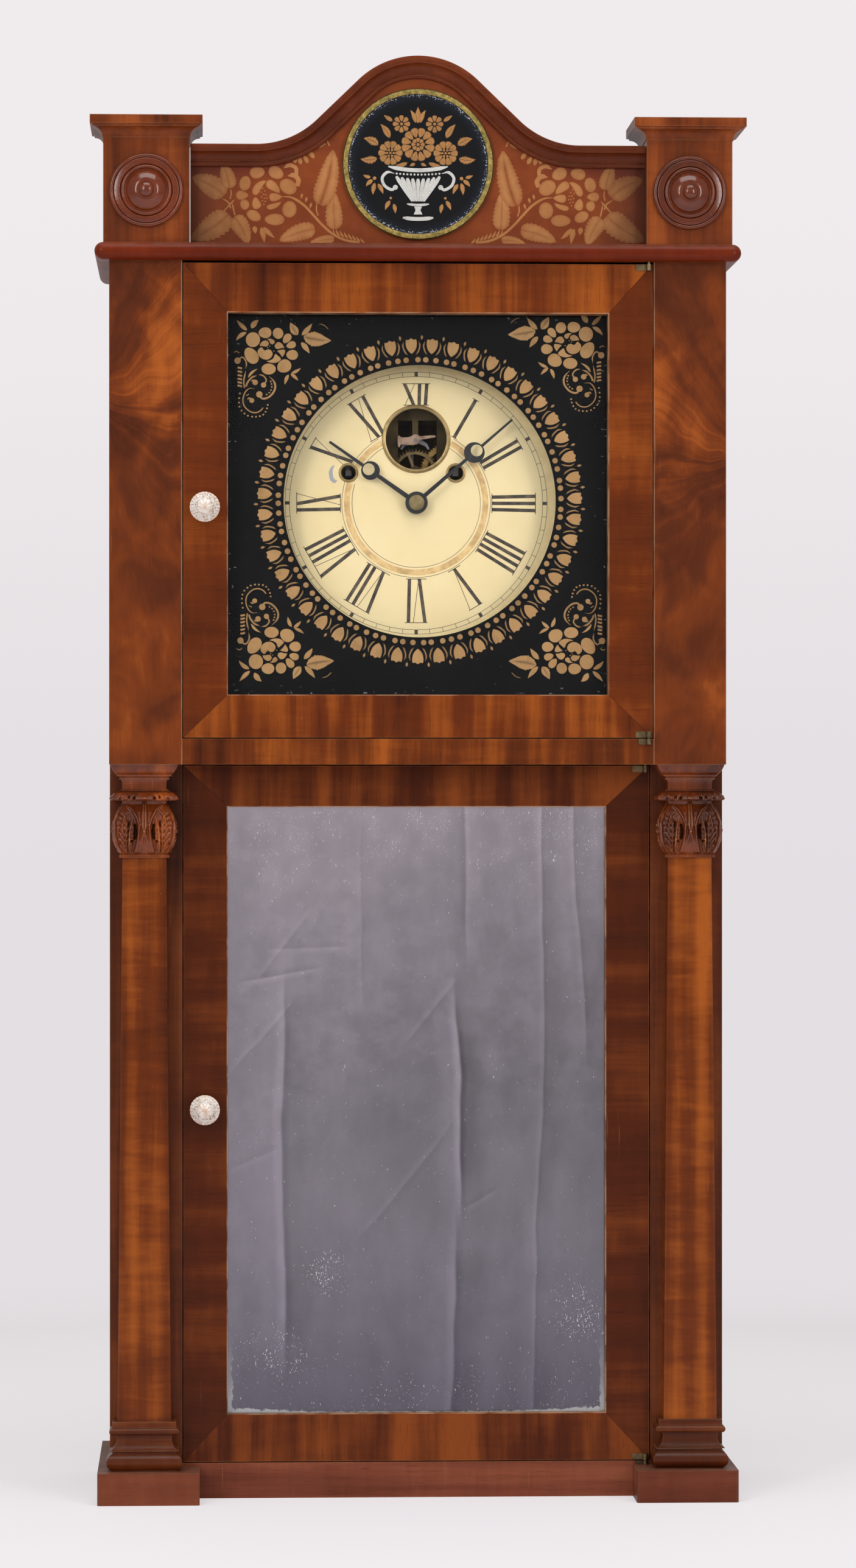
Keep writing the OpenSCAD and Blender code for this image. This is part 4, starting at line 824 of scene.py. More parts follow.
studio = {
    "focal": 8500.0, "frame": (1406, 2576), "yaw": 2.45, "perMm": 2.392,
    "aim": (0.0066, -0.075, 0.4936), "backdrop": (240, 235, 237), "horizon": (228, 223, 226),
    "fill": 0.42, "paper": (250, 247, 249), "floorGlow": 0.5,
    "lamps": {  # place, turn in degrees, size and power
        "softboxLeft": ((-1.5, -2.5, 1.55), (70, 0, -31), (0.6, 1.5), 20.5),
        "softboxRight": ((1.6, -2.4, 1.3), (74, 0, 33), (0.5, 1.4), 16),
        "overhead": ((0.0, -0.9, 2.9), (18, 0, 0), (2.2, 1.4), 31)},
}


def setStudio(look):
    scene = bpy.context.scene
    scene.view_settings.view_transform = "Standard"
    # the camera stands level, a little to the clock's left, looking along its own yaw
    yaw = np.radians(look["yaw"])
    away = look["focal"] / look["perMm"] * mm
    camera = bpy.data.cameras.new("photographer")
    camera.sensor_fit = "VERTICAL"
    camera.sensor_height = 36.0
    camera.lens = 36.0 * look["focal"] / look["frame"][1]
    camera.clip_end = 60.0
    holder = bpy.data.objects.new("photographer", camera)
    ax, ay, az = look["aim"]
    holder.location = (ax - away * np.sin(yaw), ay - away * np.cos(yaw), az)
    holder.rotation_euler = (np.pi / 2, 0, -yaw)
    scene.collection.objects.link(holder)
    scene.camera = holder
    for name, (place, turn, size, watts) in look["lamps"].items():
        lamp = bpy.data.lights.new(name, "AREA")
        lamp.shape = "RECTANGLE"
        lamp.size, lamp.size_y = size
        lamp.energy = watts
        thing = bpy.data.objects.new(name, lamp)
        thing.location = place
        thing.rotation_euler = tuple(np.radians(turn))
        scene.collection.objects.link(thing)
    world = bpy.data.worlds.new("studioAir")
    scene.world = world
    world.use_nodes = True
    s = nodeSheet(world.node_tree)
    lit = world.node_tree.nodes["Background"]
    s.join((1, 1, 1, 1), lit.inputs[0])
    s.join(look["fill"], lit.inputs[1])
    rise = s.axes(s.put("ShaderNodeTexCoord", out="Generated"))[2]
    seen = s.put("ShaderNodeBackground", {0: s.ramp(rise * 4.0 + 0.1, [
        (0.0, look["horizon"]), (0.6, look["backdrop"])])})
    s.blend(s.direct(), lit.outputs[0], seen, "World Output")


def gridFaces(rows, cols, wrapRows=False, wrapCols=False):
    # the four corners of every cell of a grid of points, as one array
    i = np.arange(rows if wrapRows else rows - 1)[:, None]
    j = np.arange(cols if wrapCols else cols - 1)[None, :]
    up, side = (i + 1) % rows, (j + 1) % cols
    return np.stack([i * cols + j, i * cols + side, up * cols + side, up * cols + j],
                    -1).reshape(-1, 4)


def setFloor(look):
    # a white floor that turns into the backdrop's own colour away from the clock
    angle = np.linspace(0, 2 * np.pi, 65)[:-1]
    reach = np.array([0.02, 0.4, 0.8, 1.4, 3.0, 30.0])[:, None]
    co = np.stack([reach * np.cos(angle), reach * np.sin(angle), 0 * reach * angle], -1)
    mesh = bpy.data.meshes.new("paperFloor")
    faces = gridFaces(len(reach), len(angle), wrapCols=True)[:, ::-1]
    mesh.from_pydata(co.reshape(-1, 3).tolist(), [], faces.tolist() + [list(range(len(angle)))])
    floor = bpy.data.objects.new("paperFloor", mesh)
    bpy.context.scene.collection.objects.link(floor)
    material, s = newMaterial("paper")
    s.dress(Base_Color=(248, 244, 247), Roughness=0.7, Specular_IOR_Level=0.2)
    span = s.put("ShaderNodeVectorMath", {0: s.point()}, "Value", operation="LENGTH")
    far = s.ramp(span * 0.2, [(0.09, 0.0), (0.36, 1.0)])
    glow = s.put("ShaderNodeEmission", {0: s.mix(far, look["paper"], look["horizon"])})
    # mirrors and varnish don't see the paper's own brightness
    share = s.most(far, look["floorGlow"]) * s.direct()
    s.blend(share, s.shader.outputs[0], glow, "Material Output")
    mesh.materials.append(material)


setStudio(studio)
setFloor(studio)
print("studio set")


def makePiece(name, co, faceSets, body, finish, slot, replaces=(), crease=40, marks=None):
    # points and faces go straight from arrays into a mesh; the sum of the little
    # volumes under its faces says whether they look outward, and turns them if not
    co = np.ascontiguousarray(co, dtype=np.float64).reshape(-1, 3)
    faceSets = [np.asarray(f) for f in faceSets if len(f)]
    volume = 0.0
    for f in faceSets:
        for k in range(1, f.shape[1] - 1):
            a, b, c = co[f[:, 0]], co[f[:, k]], co[f[:, k + 1]]
            volume += np.einsum("ij,ij->i", a, np.cross(b, c)).sum()
    if volume < 0:
        faceSets = [f[:, ::-1] for f in faceSets]
    counts = np.concatenate([np.full(len(f), f.shape[1]) for f in faceSets])
    corners = np.concatenate([f.ravel() for f in faceSets]).astype(np.int32)
    starts = np.concatenate([[0], np.cumsum(counts)[:-1]]).astype(np.int32)
    mesh = bpy.data.meshes.new(name)
    mesh.vertices.add(len(co))
    mesh.vertices.foreach_set("co", (co * mm).astype(np.float32).ravel())
    mesh.loops.add(len(corners))
    mesh.polygons.add(len(counts))
    mesh.polygons.foreach_set("loop_start", starts)
    mesh.polygons.foreach_set("vertices", corners)
    mesh.update(calc_edges=True)
    mesh.polygons.foreach_set("use_smooth", np.ones(len(counts), dtype=bool))
    mesh.set_sharp_from_angle(angle=float(np.radians(crease)))
    for key, values in (marks or {}).items():
        layer = mesh.attributes.new(key, "FLOAT", "POINT")
        layer.data.foreach_set("value", np.asarray(values, dtype=np.float32).ravel())
    piece = bpy.data.objects.new(name, mesh)
    bpy.context.scene.collection.objects.link(piece)
    mesh.materials.append(finish)
    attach(piece, body)
    if replaces:
        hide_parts(*replaces)
    return piece


def paintedPiece(name, art, body, finish, slot):  # a paint film with its shade attribute
    co, faces, shade = art
    return makePiece(name, co, faces, body, finish, slot, marks={"shade": shade})


def joined(shapes):  # several (points, face sets) as one
    points, faces, base = [], [], 0
    for co, sets in shapes:
        co = np.asarray(co, float).reshape(-1, 3)
        points.append(co)
        faces += [np.asarray(f) + base for f in sets]
        base += len(co)
    return np.concatenate(points), faces


def mirrored(shape):  # the shape and its copy on the other side of the clock
    co, sets = shape
    other = np.asarray(co, float).reshape(-1, 3) * (-1, 1, 1)
    return joined([shape, (other, [np.asarray(f)[:, ::-1] for f in sets])])


def loft(co):
    # rings of points, one over another, closed round and covered at both ends
    rows, cols = co.shape[:2]
    sides = gridFaces(rows, cols, wrapCols=True)
    foot = np.arange(cols)[None, ::-1]
    head = (rows - 1) * cols + np.arange(cols)[None, :]
    return co.reshape(-1, 3), [sides, foot, head]


def turned(profile, centre, segments=64, ripple=None):
    # a profile of radius and reach, carried round an axis that points to the front;
    # ripple(radius, reach, angle) may add to the radius and to the reach
    profile = np.asarray(profile, float)
    angle = np.linspace(0, 2 * np.pi, segments + 1)[:-1][None, :]
    ring = profile[profile[:, 0] > 1e-9]
    r, h = ring[:, :1] + 0 * angle, ring[:, 1:] + 0 * angle
    if ripple:
        dr, dh = ripple(r, h, angle)
        r, h = r + dr, h + dh
    cx, cy, cz = centre
    co = np.stack([cx + r * np.cos(angle), cy - h, cz + r * np.sin(angle)], -1).reshape(-1, 3)
    ends = np.array([[cx, cy - profile[0, 1], cz], [cx, cy - profile[-1, 1], cz]])
    j = np.arange(segments)
    k = (j + 1) % segments
    last = (len(ring) - 1) * segments
    first = np.stack([np.full(segments, len(co)), k, j], -1)
    final = np.stack([np.full(segments, len(co) + 1), last + j, last + k], -1)
    return (np.concatenate([co, ends]),
            [gridFaces(len(ring), segments, wrapCols=True), first, final])


def arcPoints(cx, cy, r, a0, a1, n):  # points on a circle from one angle to another
    a = np.radians(np.linspace(a0, a1, n))
    return np.stack([cx + r * np.cos(a), cy + r * np.sin(a)], -1)


def hill(x, z, x0, z0, wx, wz):  # a soft hill over a plane
    return np.exp(-((x - x0) / wx) ** 2 - ((z - z0) / wz) ** 2)


def ridge(x, z, points, wide, power=2.0):
    # height of a soft ridge that follows a line of points (distance in the plane to the
    # nearest of the line's short lengths, through a bell curve); wide may change along it
    line = np.asarray(points, float)
    best = np.full(x.shape, 1e9)
    place = np.zeros(x.shape)
    for i in range(len(line) - 1):
        d = line[i + 1] - line[i]
        t = np.clip(((x - line[i, 0]) * d[0] + (z - line[i, 1]) * d[1]) / (d @ d), 0, 1)
        gap = np.hypot(x - line[i, 0] - t * d[0], z - line[i, 1] - t * d[1])
        nearer = gap < best
        best = np.where(nearer, gap, best)
        place = np.where(nearer, (i + t) / (len(line) - 1), place)
    w = np.interp(place, np.linspace(0, 1, len(wide)), wide)
    return np.exp(-(best / w) ** power)


columnLook = {
    "x": 188.0, "face": -47.0, "shaft": (55.5, 443.0), "half": (18.35, 15.2),
    "depth": (19.0, 16.0), "arris": 0.9, "swell": 0.25,
}


def squareSection(half, front, back, cx, arris, sideSteps, frontSteps):
    # an upright post's outline seen from above: back corner, side, rounded arris, front,
    # rounded arris, side, back corner; half and front may change from row to row
    half, front = np.broadcast_arrays(np.atleast_1d(half), np.atleast_1d(front))
    r = np.minimum(arris, half * 0.4)
    side = np.linspace(0, 1, sideSteps)
    turn = np.radians(np.linspace(0, 90, 6))
    across = np.linspace(-1, 1, frontSteps)
    h, f, r = half[:, None], front[:, None], np.atleast_1d(r)[:, None]
    x0 = -h + 0 * side
    y0 = back + (f + r - back) * side
    x1 = -h + r - r * np.cos(turn)
    y1 = f + r - r * np.sin(turn)
    x2 = (h - r) * across
    y2 = f + 0 * across
    x = np.concatenate([x0, x1[:, 1:], x2[:, 1:-1], -x1[:, ::-1], -x0[:, ::-1][:, 1:]], 1)
    y = np.concatenate([y0, y1[:, 1:], y2[:, 1:-1], y1[:, ::-1], y0[:, ::-1][:, 1:]], 1)
    return cx + x, y


def columnShafts(look):
    # a straight taper from foot to head, the front face swelling very slightly
    t = np.linspace(0, 1, 40)
    z = look["shaft"][0] + t * (look["shaft"][1] - look["shaft"][0])
    half = look["half"][0] + t * (look["half"][1] - look["half"][0])
    deep = look["depth"][0] + t * (look["depth"][1] - look["depth"][0])
    x, y = squareSection(half, look["face"] - deep, look["face"], look["x"], look["arris"], 6, 18)
    swell = look["swell"] * np.clip(1 - ((x - look["x"]) / half[:, None]) ** 2, 0, 1)
    y = np.where(y < look["face"] - deep[:, None] + 1.0, y - swell + look["swell"], y)
    return mirrored(loft(np.stack([x, y, z[:, None] + 0 * x], -1)))


makePiece("columnShafts", *columnShafts(columnLook), "case", mahogany["shaft"], "carved_wood",
          ["column_shafts"])


baseLook = {"foot": 22.0, "top": 55.5, "roll": 26.0, "half": 18.35, "depth": 19.0}


def mitredMoulding(rows, half, depth, face, cx, arris=0.35):
    # an outline of half width and height, carried round the front and both sides of a
    # square post, so that its corners mitre
    rows = np.asarray(rows, float)
    front = face - depth - rows[:, 0] + half
    x, y = squareSection(rows[:, 0], front, face, cx, arris, 5, 10)
    return mirrored(loft(np.stack([x, y, rows[:, 1:] + 0 * x], -1)))


def columnBases(look):
    # a fat roll, fillet, hollow and small bead, from below upward
    z, top = look["foot"], look["top"]
    rows = np.concatenate([
        [[look["roll"] - 3.4, z + 0.2]], arcPoints(look["roll"] - 5.8, z + 6, 5.8, -62, 62, 15),
        [[21.9, z + 12.2], [21.9, z + 13.6]], arcPoints(27.5, z + 21.5, 8.6, 244, 172, 12),
        [[19.4, z + 24.6]], arcPoints(21.6, z + 27, 2.4, -90, 90, 12),
        [[21.9, z + 29.6], [21.9, top - 0.6], [21.5, top]]])
    return mitredMoulding(rows, look["half"], look["depth"], columnLook["face"], columnLook["x"])


makePiece("columnBases", *columnBases(baseLook), "case", mahogany["base"], "carved_wood",
          ["column_bases"], crease=50)


capitalLook = {
    "foot": 443.0, "half": 15.2, "depth": 16.0, "rows": 156, "front": 112, "carve": 1.4,
    "outline": ((0, 17.3), (1.8, 17.3), (2.2, 16.3), (3.9, 17.3), (9, 19.4), (14.3, 21.1),
                (19.5, 21.8), (24.7, 21.1), (29.9, 18.8), (36.7, 15.4), (38.9, 15.2),
                (39.4, 22.6), (40.4, 23.4), (42.2, 22.8), (44.4, 20.6), (46.2, 17.6),
                (47.4, 15.2), (51.6, 15.2), (52.4, 15.6), (53.6, 15.9), (53.7, 17.2),
                (54.6, 17.3), (54.8, 16.8), (55.6, 17.2), (55.9, 18.6), (56.8, 18.8),
                (57.2, 19.3), (59, 20.9), (61, 22.2), (63, 23.1), (64, 23.3)),
    # each rib or cut: height, the line it follows, its widths along that, its squareness
    "ribs": (
        (1.6, ((15.4, 2.5), (18.6, 8), (20.6, 15.3), (21.0, 24.7), (18.6, 31), (15.4, 36.2)),
         (1.1, 1.4, 1.7, 1.7, 1.2), 3),
        (1.5, ((6.2, 2.5), (4.8, 9), (3.9, 15.3), (3.5, 22), (5.2, 27.5), (8.1, 33), (12.2, 36)),
         (1.6, 1.3, 0.9, 0.9, 1.0, 0.6), 3),
        (1.4, ((12.4, 2.6), (13.3, 11.7), (13.9, 19.5), (13.6, 29.5)),
         (1.3, 3.3, 3.9, 2.6, 0.5), 4),
        (1.2, ((9.9, 3.6), (9.5, 11.7), (8.6, 20.5), (8.1, 26.5)), (1.0, 2.1, 2.1, 0.6), 4),
        (-0.5, ((12.4, 2.6), (13.3, 11.7), (13.9, 19.5), (13.6, 29.5)), (0.35, 0.4, 0.25), 2),
        (-0.5, ((9.9, 3.6), (9.5, 11.7), (8.6, 20.5), (8.1, 26.5)), (0.3, 0.35, 0.2), 2),
        (-1.2, ((11.3, 4), (11.4, 11), (11.0, 18), (10.7, 25)), (0.45, 0.5, 0.4), 2),
        (-2.0, ((6.3, 13.5), (6.0, 17.5), (6.6, 22.5)), (0.8, 1.0, 0.6), 2),
        (1.1, ((0.4, 17.5), (1.9, 11), (3.4, 3)), (0.9, 1.2, 1.4), 3)),
    # each vein: height, its line, its widths, and the heights at which it is cut again
    "veins": (
        (-0.7, ((13.2, 0), (15.0, 3.0), (17.4, 5.0)), (0.3, 0.42, 0.5), (5, 9, 13, 17, 21, 25)),
        (-0.55, ((13.3, 1), (11.9, 3.6), (10.8, 5.4)), (0.28, 0.4), (5, 9, 13, 17, 21, 25)),
        (-0.45, ((9.2, 0), (8.0, 2.8), (7.0, 4.0)), (0.25, 0.35), (7, 13, 18))),
}


def carving(x, z, look):
    # heights, in millimetres, of the leaves cut into the bell and of the leaf band above
    # it: soft ridges along the ribs and veins, soft cuts beside them, the same each side
    a = np.abs(x)
    bell = np.clip((z - 2.4) / 1.5, 0, 1) * np.clip((38.4 - z) / 1.5, 0, 1)
    h = -0.6 * bell
    for amount, line, wide, power in look["ribs"]:
        h += amount * bell * ridge(a, z, line, wide, power)
    for amount, line, wide, starts in look["veins"]:
        for z0 in starts:
            h += amount * bell * ridge(a, z, [(px, pz + z0) for px, pz in line], wide)
    h -= 1.6 * bell * hill(a, z, 8.6, 11.2, 0.9, 0.9)
    h += 0.9 * bell * np.exp(-((np.hypot(a - 8.6, z - 11.2) - 1.45) / 0.42) ** 2)
    rib = np.interp(z, [16, 22, 30, 38], [0.5, 2.5, 2.1, 1.5])
    h += 1.8 * bell * np.exp(-(a / rib) ** 4) * np.clip((z - 16) / 3.0, 0, 1)
    h -= 0.8 * bell * np.exp(-((a - 0.15) / 0.28) ** 2) * np.clip((z - 17) / 4.0, 0, 1)
    h += 0.8 * bell * np.exp(-(a / 1.4) ** 2) * np.clip((13 - z) / 6, 0, 1)
    band = np.clip((z - 39.0) / 0.5, 0, 1) * np.clip((47.2 - z) / 0.8, 0, 1)
    leaf = np.cos((a + 0.35 * (z - 42)) * 2 * np.pi / 2.6) * np.cos(a * 0.9 + 0.4)
    h += 0.55 * band * leaf * np.exp(-((z - 42.6) / 2.4) ** 2)
    h -= 1.2 * band * np.exp(-((z - 45.6) / 1.0) ** 2)
    for amount, x0, z0, wx, wz in ((-1.8, 7.0, 40.6, 0.9, 1.6), (-1.4, 10.4, 41.2, 0.7, 1.4),
                                   (-1.3, 16.6, 40.0, 1.3, 1.5), (0.8, 0, 40.6, 4.4, 1.4),
                                   (0.6, 13.2, 41, 1.8, 1.6)):
        h += amount * band * hill(a, z, x0, z0, wx, wz)
    return h * look["carve"]


def columnCapitals(look):
    # the capital's outline on a fine grid, pushed out or in along the face by the carving;
    # on the side faces the same leaves run with depth in place of width
    table = np.asarray(look["outline"], float)
    z = np.unique(np.concatenate([np.linspace(0, 64, look["rows"]), table[:, 0]]))
    half = np.interp(z, table[:, 0], table[:, 1])
    face, cx = columnLook["face"], columnLook["x"]
    front = face - look["depth"] - half + look["half"]
    x, y = squareSection(half, front, face, cx, 0.9, 26, look["front"])
    zz = z[:, None] + 0 * x
    onSide = np.abs(x - cx) > half[:, None] - 0.95
    deep = face - y
    span = (face - front)[:, None]
    sideAt = (deep / span - 0.5) * 2 * 20.0
    pushFront = carving(x - cx, zz, look)
    pushSide = 0.7 * carving(sideAt, zz, look) * np.clip(deep / 3.0, 0, 1)
    edge = np.clip((half[:, None] - np.abs(x - cx)) / 0.9, 0, 1)
    y = np.where(onSide & (deep < span - 1.0), y, y - pushFront * np.clip(edge + 0.35, 0, 1))
    pushSide = np.where(onSide, pushSide, 0)
    x = x + np.sign(x - cx) * pushSide * np.clip((span - deep) / 0.9 + 0.35, 0, 1)
    height = np.where(onSide, pushSide * 1.4, pushFront)
    co, faces = mirrored(loft(np.stack([x, y, look["foot"] + zz], -1)))
    return co, faces, np.tile(np.clip((height + 2.6) / 6.0, 0, 1).ravel(), 2)


co, faces, relief = columnCapitals(capitalLook)
makePiece("columnCapitals", co, faces, "case", mahogany["carved"], "carved_wood",
          ["column_capitals"], crease=60, marks={"relief": relief})


rosetteLook = {"x": 186.5, "z": 900.0, "face": -78.0, "radius": 25.3, "reach": 10.9}


def rosette(look):
    # a bead, a flat ring, a second bead and a low dome with a button, turned in one piece
    r = look["radius"]
    dome = np.linspace(0, 1, 16)
    rows = np.concatenate([
        [[0, -1.0], [r, -1.0], [r, 1.0]], arcPoints(r - 1.5, 1.8, 1.5, 0, 165, 10),
        [[22.6, 1.5], [22.3, 1.5]], arcPoints(21.8, 2.9, 0.5, 0, 90, 4),
        [[18.6, 3.9]], arcPoints(18.4, 3.5, 0.4, 60, 150, 3), [[17.5, 2.5]],
        arcPoints(16.2, 3.2, 1.3, 0, 165, 9), [[14.5, 2.9], [14.1, 2.9]],
        np.stack([13.9 - 8.2 * dome, 3.1 + 5.0 * np.sin(dome * np.pi / 2) ** 0.9], -1),
        [[5.6, 7.7], [5.3, 7.7]], arcPoints(0, 7.9, 5.1, 0, 90, 12)])
    rows[-12:, 1] = 7.9 + (rows[-12:, 1] - 7.9) * 3.0 / 5.1
    rows[-1, 0] = 0.0
    return mirrored(turned(rows, (look["x"], look["face"], look["z"]), 96))


makePiece("rosettes", *rosette(rosetteLook), "case", mahogany["rosette"], "carved_wood",
          ["rosettes"], crease=35)


crestLook = {
    "half": 156.5, "shoulder": 932.8, "hollow": (111.5, 992.8, 60.0), "round": (935.0, 59.0),
    "slope": 43.96, "face": -66.0, "wide": 15.0, "reach": 8.5,
}


def crestLine(look, inset=0.0):
    # the ogee outline from one crest block to the other, moved inward by inset:
    # level shoulder, hollow, straight slope, round top, and the same again backwards
    hx, hz, hr = look["hollow"]
    rz, rr = look["round"]
    slope = look["slope"]
    shoulder = np.linspace(-look["half"], -hx, 12)
    left = np.concatenate([
        np.stack([shoulder, 0 * shoulder + look["shoulder"] - inset], -1)[:-1],
        arcPoints(-hx, hz, hr + inset, -90, slope - 90, 36),
        arcPoints(0, rz, rr - inset, 90 + slope, 90, 46)])
    return np.concatenate([left, left[::-1][1:] * (-1, 1)])


def crestEdge(look):
    # the moulding's outline of width and reach, carried along the ogee line; each point
    # of it follows its own parallel of that line
    outline = np.concatenate([
        [[0.2, -0.2], [14.8, -0.2], [15.0, 0.1], [15.0, 1.2]],
        arcPoints(13.4, 1.5, 1.6, 0, 180, 13),
        [[11.7, 1.6], [11.2, 2.0]], arcPoints(11.6, 8.8, 7.0, 262, 190, 14),
        [[4.4, 7.7], [3.2, 7.8], [3.0, 8.3], [2.7, 8.5], [0.4, 8.5], [0.0, 8.1], [0.0, 0.0]]])
    lines = np.stack([crestLine(look, w) for w in outline[:, 0]], 1)
    reach = look["face"] - np.broadcast_to(outline[:, 1], lines.shape[:2])
    return loft(np.stack([lines[..., 0], reach, lines[..., 1]], -1))


makePiece("crestEdgeMoulding", *crestEdge(crestLook), "case", mahogany["edging"],
          "carved_wood", ["crest_moulding"], crease=42)


knobLook = {"x": -146.5, "upper": (683.0, -75.0), "lower": (269.0, -47.0), "radius": 10.4,
            "reach": 22.0, "flutes": 26, "spindle": (2.0, 6.0, 20.3)}


def pressedKnob(look, z, face):
    # a glass disc on a waisted neck; the face is pressed with a ring of fine flutes
    # around an eight-petalled star
    r = look["radius"]
    rows = np.concatenate([
        [[0, 0.3], [4.6, 0.3], [4.6, 1.6]], arcPoints(5.4, 4.2, 2.2, 230, 140, 8),
        [[6.0, 8.2], [8.6, 9.4], [10.0, 10.8]], arcPoints(r - 1.2, 12.7, 1.2, -30, 60, 7),
        np.stack([np.linspace(r - 1.0, 0.0, 26), 14.4 + (look["reach"] - 15.2)
                  * np.sin(np.linspace(0, 1, 26) * np.pi / 2) ** 1.1], -1)])

    def ripple(radius, h, angle):
        onFace = np.clip((h - 12.0) / 2.0, 0, 1)
        ring = onFace * np.clip((radius - 5.2) / 0.8, 0, 1)
        star = onFace * np.clip((5.0 - radius) / 0.6, 0, 1) * np.clip(radius / 1.5, 0, 1)
        flute = np.abs(np.cos(angle * look["flutes"] / 2))
        return (ring * np.clip((radius - 8.6) / 1.0, 0, 1) * (flute - 1) * 0.55,
                ring * (flute - 0.6) * 0.5 * np.abs(np.sin(radius * 1.7)) - ring * 0.45
                + star * (np.abs(np.cos(angle * 4)) - 1.0) * 0.55)
    return turned(rows, (look["x"], face, z), look["flutes"] * 8, ripple)


def rodShape(x, z, r, y0, y1):  # a plain round spindle with a small bevel
    rows = [[0, -y1], [r - 0.2, -y1], [r, 0.2 - y1], [r, -y0 - 0.2], [r - 0.2, -y0], [0, -y0]]
    return turned(rows, (x, 0, z), 24)


radius, ahead, behind = knobLook["spindle"]
for label in ("upper", "lower"):
    high, face = knobLook[label]
    makePiece(label + "KnobGlass", *pressedKnob(knobLook, high, face), label + "_catch", knobGlass,
              "knob_glass", [label + "_knob"], crease=25)
    makePiece(label + "KnobSpindle", *rodShape(knobLook["x"], high, radius, face - ahead,
                                               face + behind), label + "_catch",
              metals["dullBrass"], "brass")
print("column, rosette, crest and knob shapes done")


cordLook = {"radius": 0.8, "low": 236.0, "high": 818.0, "x": 165.8, "y": 7.0, "keep": 0.381,
            "strands": 3, "lay": 9.0}


def weightCord(look, side):
    # three strands laid together: the ring's radius rises and falls three times round
    # and the pattern turns once in every lay
    z = np.arange(look["low"], look["high"] + 0.1, 1.5)
    angle = np.linspace(0, 2 * np.pi, 13)[:-1][None, :]
    twist = 2 * np.pi * (z[:, None] - look["low"]) / look["lay"]
    lobes = np.abs(np.cos((angle - twist) * look["strands"] / 2)) ** 0.6
    r = look["radius"] * (0.86 + 0.14 * lobes)
    return loft(np.stack([side * look["x"] + r * np.cos(angle), look["y"] + r * np.sin(angle),
                          z[:, None] + 0 * r], -1))


for side, train in ((1, "time"), (-1, "strike")):
    cordPiece = makePiece(train + "WeightCord", *weightCord(cordLook, side), "case", cordStuff,
                          "cord", [train + "_cord_drop"], crease=80)
    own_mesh(cordPiece)
print("weight cords hung")


def film(shapes, face, proud=0.05, sunk=0.02, layers=7, step=0.004):
    # thin closed slabs of paint: each shape is a grid of points in the upright plane with
    # a shade of its own; a front sheet, a back sheet and a rim between them
    points, sets, shades, base, count = [], [], [], 0, 0
    for x, z, shade in shapes:
        k, m, n = x.shape
        ax, az = np.diff(x, axis=2)[:, :-1], np.diff(z, axis=2)[:, :-1]
        bx, bz = np.diff(x, axis=1)[:, :, :-1], np.diff(z, axis=1)[:, :, :-1]
        turn = (az * bx - ax * bz).sum((1, 2)) > 0
        x, z, shade = [np.where(turn[:, None, None], v[:, :, ::-1], v) for v in (x, z, shade)]
        # sheets that cross stand a hair apart, so that no two coincide
        layer = step * ((count + np.arange(k)) % layers)[:, None, None]
        front = np.stack([x, face - proud - layer + 0 * x, z], -1)
        back = np.stack([x, np.full_like(x, face + sunk), z], -1)
        points.append(np.stack([front, back], 1).reshape(-1, 3))
        shades.append(np.stack([shade, shade], 1).ravel())
        cells = gridFaces(m, n)
        i = np.arange(m * n).reshape(m, n)
        loop = np.concatenate([i[0, :-1], i[:-1, -1], i[-1, :0:-1], i[:0:-1, 0]])
        ahead = np.roll(loop, -1)
        rim = np.stack([ahead, loop, loop + m * n, ahead + m * n], -1)
        one = np.concatenate([cells, cells[:, ::-1] + m * n, rim])
        sets.append((one[None] + (np.arange(k) * 2 * m * n)[:, None, None] + base).reshape(-1, 4))
        base += 2 * k * m * n
        count += k
    return np.concatenate(points), [np.concatenate(sets)], np.concatenate(shades)


def spread(*values):  # numbers and lists as arrays of one length, each ready for a grid
    sizes = np.broadcast_arrays(*[np.atleast_1d(np.asarray(v, float)) for v in values])
    return [v[:, None, None] for v in sizes]


def roundGrid(n):  # a square grid pressed into a circle, each side pulled in by the other
    g = np.linspace(-1, 1, n)
    u, v = g[None, :, None], g[None, None, :]
    return u * np.sqrt(1 - v * v / 2), v * np.sqrt(1 - u * u / 2)


def blades(x0, z0, x1, z1, half, bow=0.0, rows=9, cols=5, outline=None, teeth=0, bite=0.0,
           vein=0.0, soft=0.0, rib=0.16):
    # strips from one point to another: the middle line bows sideways as a parabola, the
    # half width follows an outline over the length, and the edge may be cut into teeth;
    # the shade falls along a middle vein and softly towards the edge
    x0, z0, x1, z1, half, bow = spread(x0, z0, x1, z1, half, bow)
    t = np.linspace(0, 1, rows)[None, :, None]
    c = np.linspace(-1, 1, cols)[None, None, :]
    dx, dz = x1 - x0, z1 - z0
    length = np.hypot(dx, dz)
    nx, nz = -dz / length, dx / length
    lean = bow * 4 * t * (1 - t)
    steep = bow * 4 * (1 - 2 * t) / length
    tx, tz = dx / length + nx * steep, dz / length + nz * steep
    norm = np.hypot(tx, tz)
    sx, sz = -tz / norm, tx / norm
    wide = np.interp(t, *zip(*outline)) if outline else np.ones_like(t)
    if teeth:
        saw = (t * teeth) % 1.0
        wide = wide * (1 - bite * saw * np.sin(np.pi * t) ** 0.3)
    w = half * wide * c
    x = x0 + dx * t + nx * lean + sx * w
    z = z0 + dz * t + nz * lean + sz * w
    shade = np.ones_like(x)
    if vein:
        shade = shade - vein * np.exp(-(c / rib) ** 2) * np.clip((0.95 - t) * 4, 0, 1)
    if soft:
        edge = np.clip((1 - np.abs(c)) * 2.2, 0, 1) * np.clip(np.minimum(t, 1 - t) * 9, 0, 1)
        shade = shade * (1 - soft + soft * edge)
    return x, z, shade


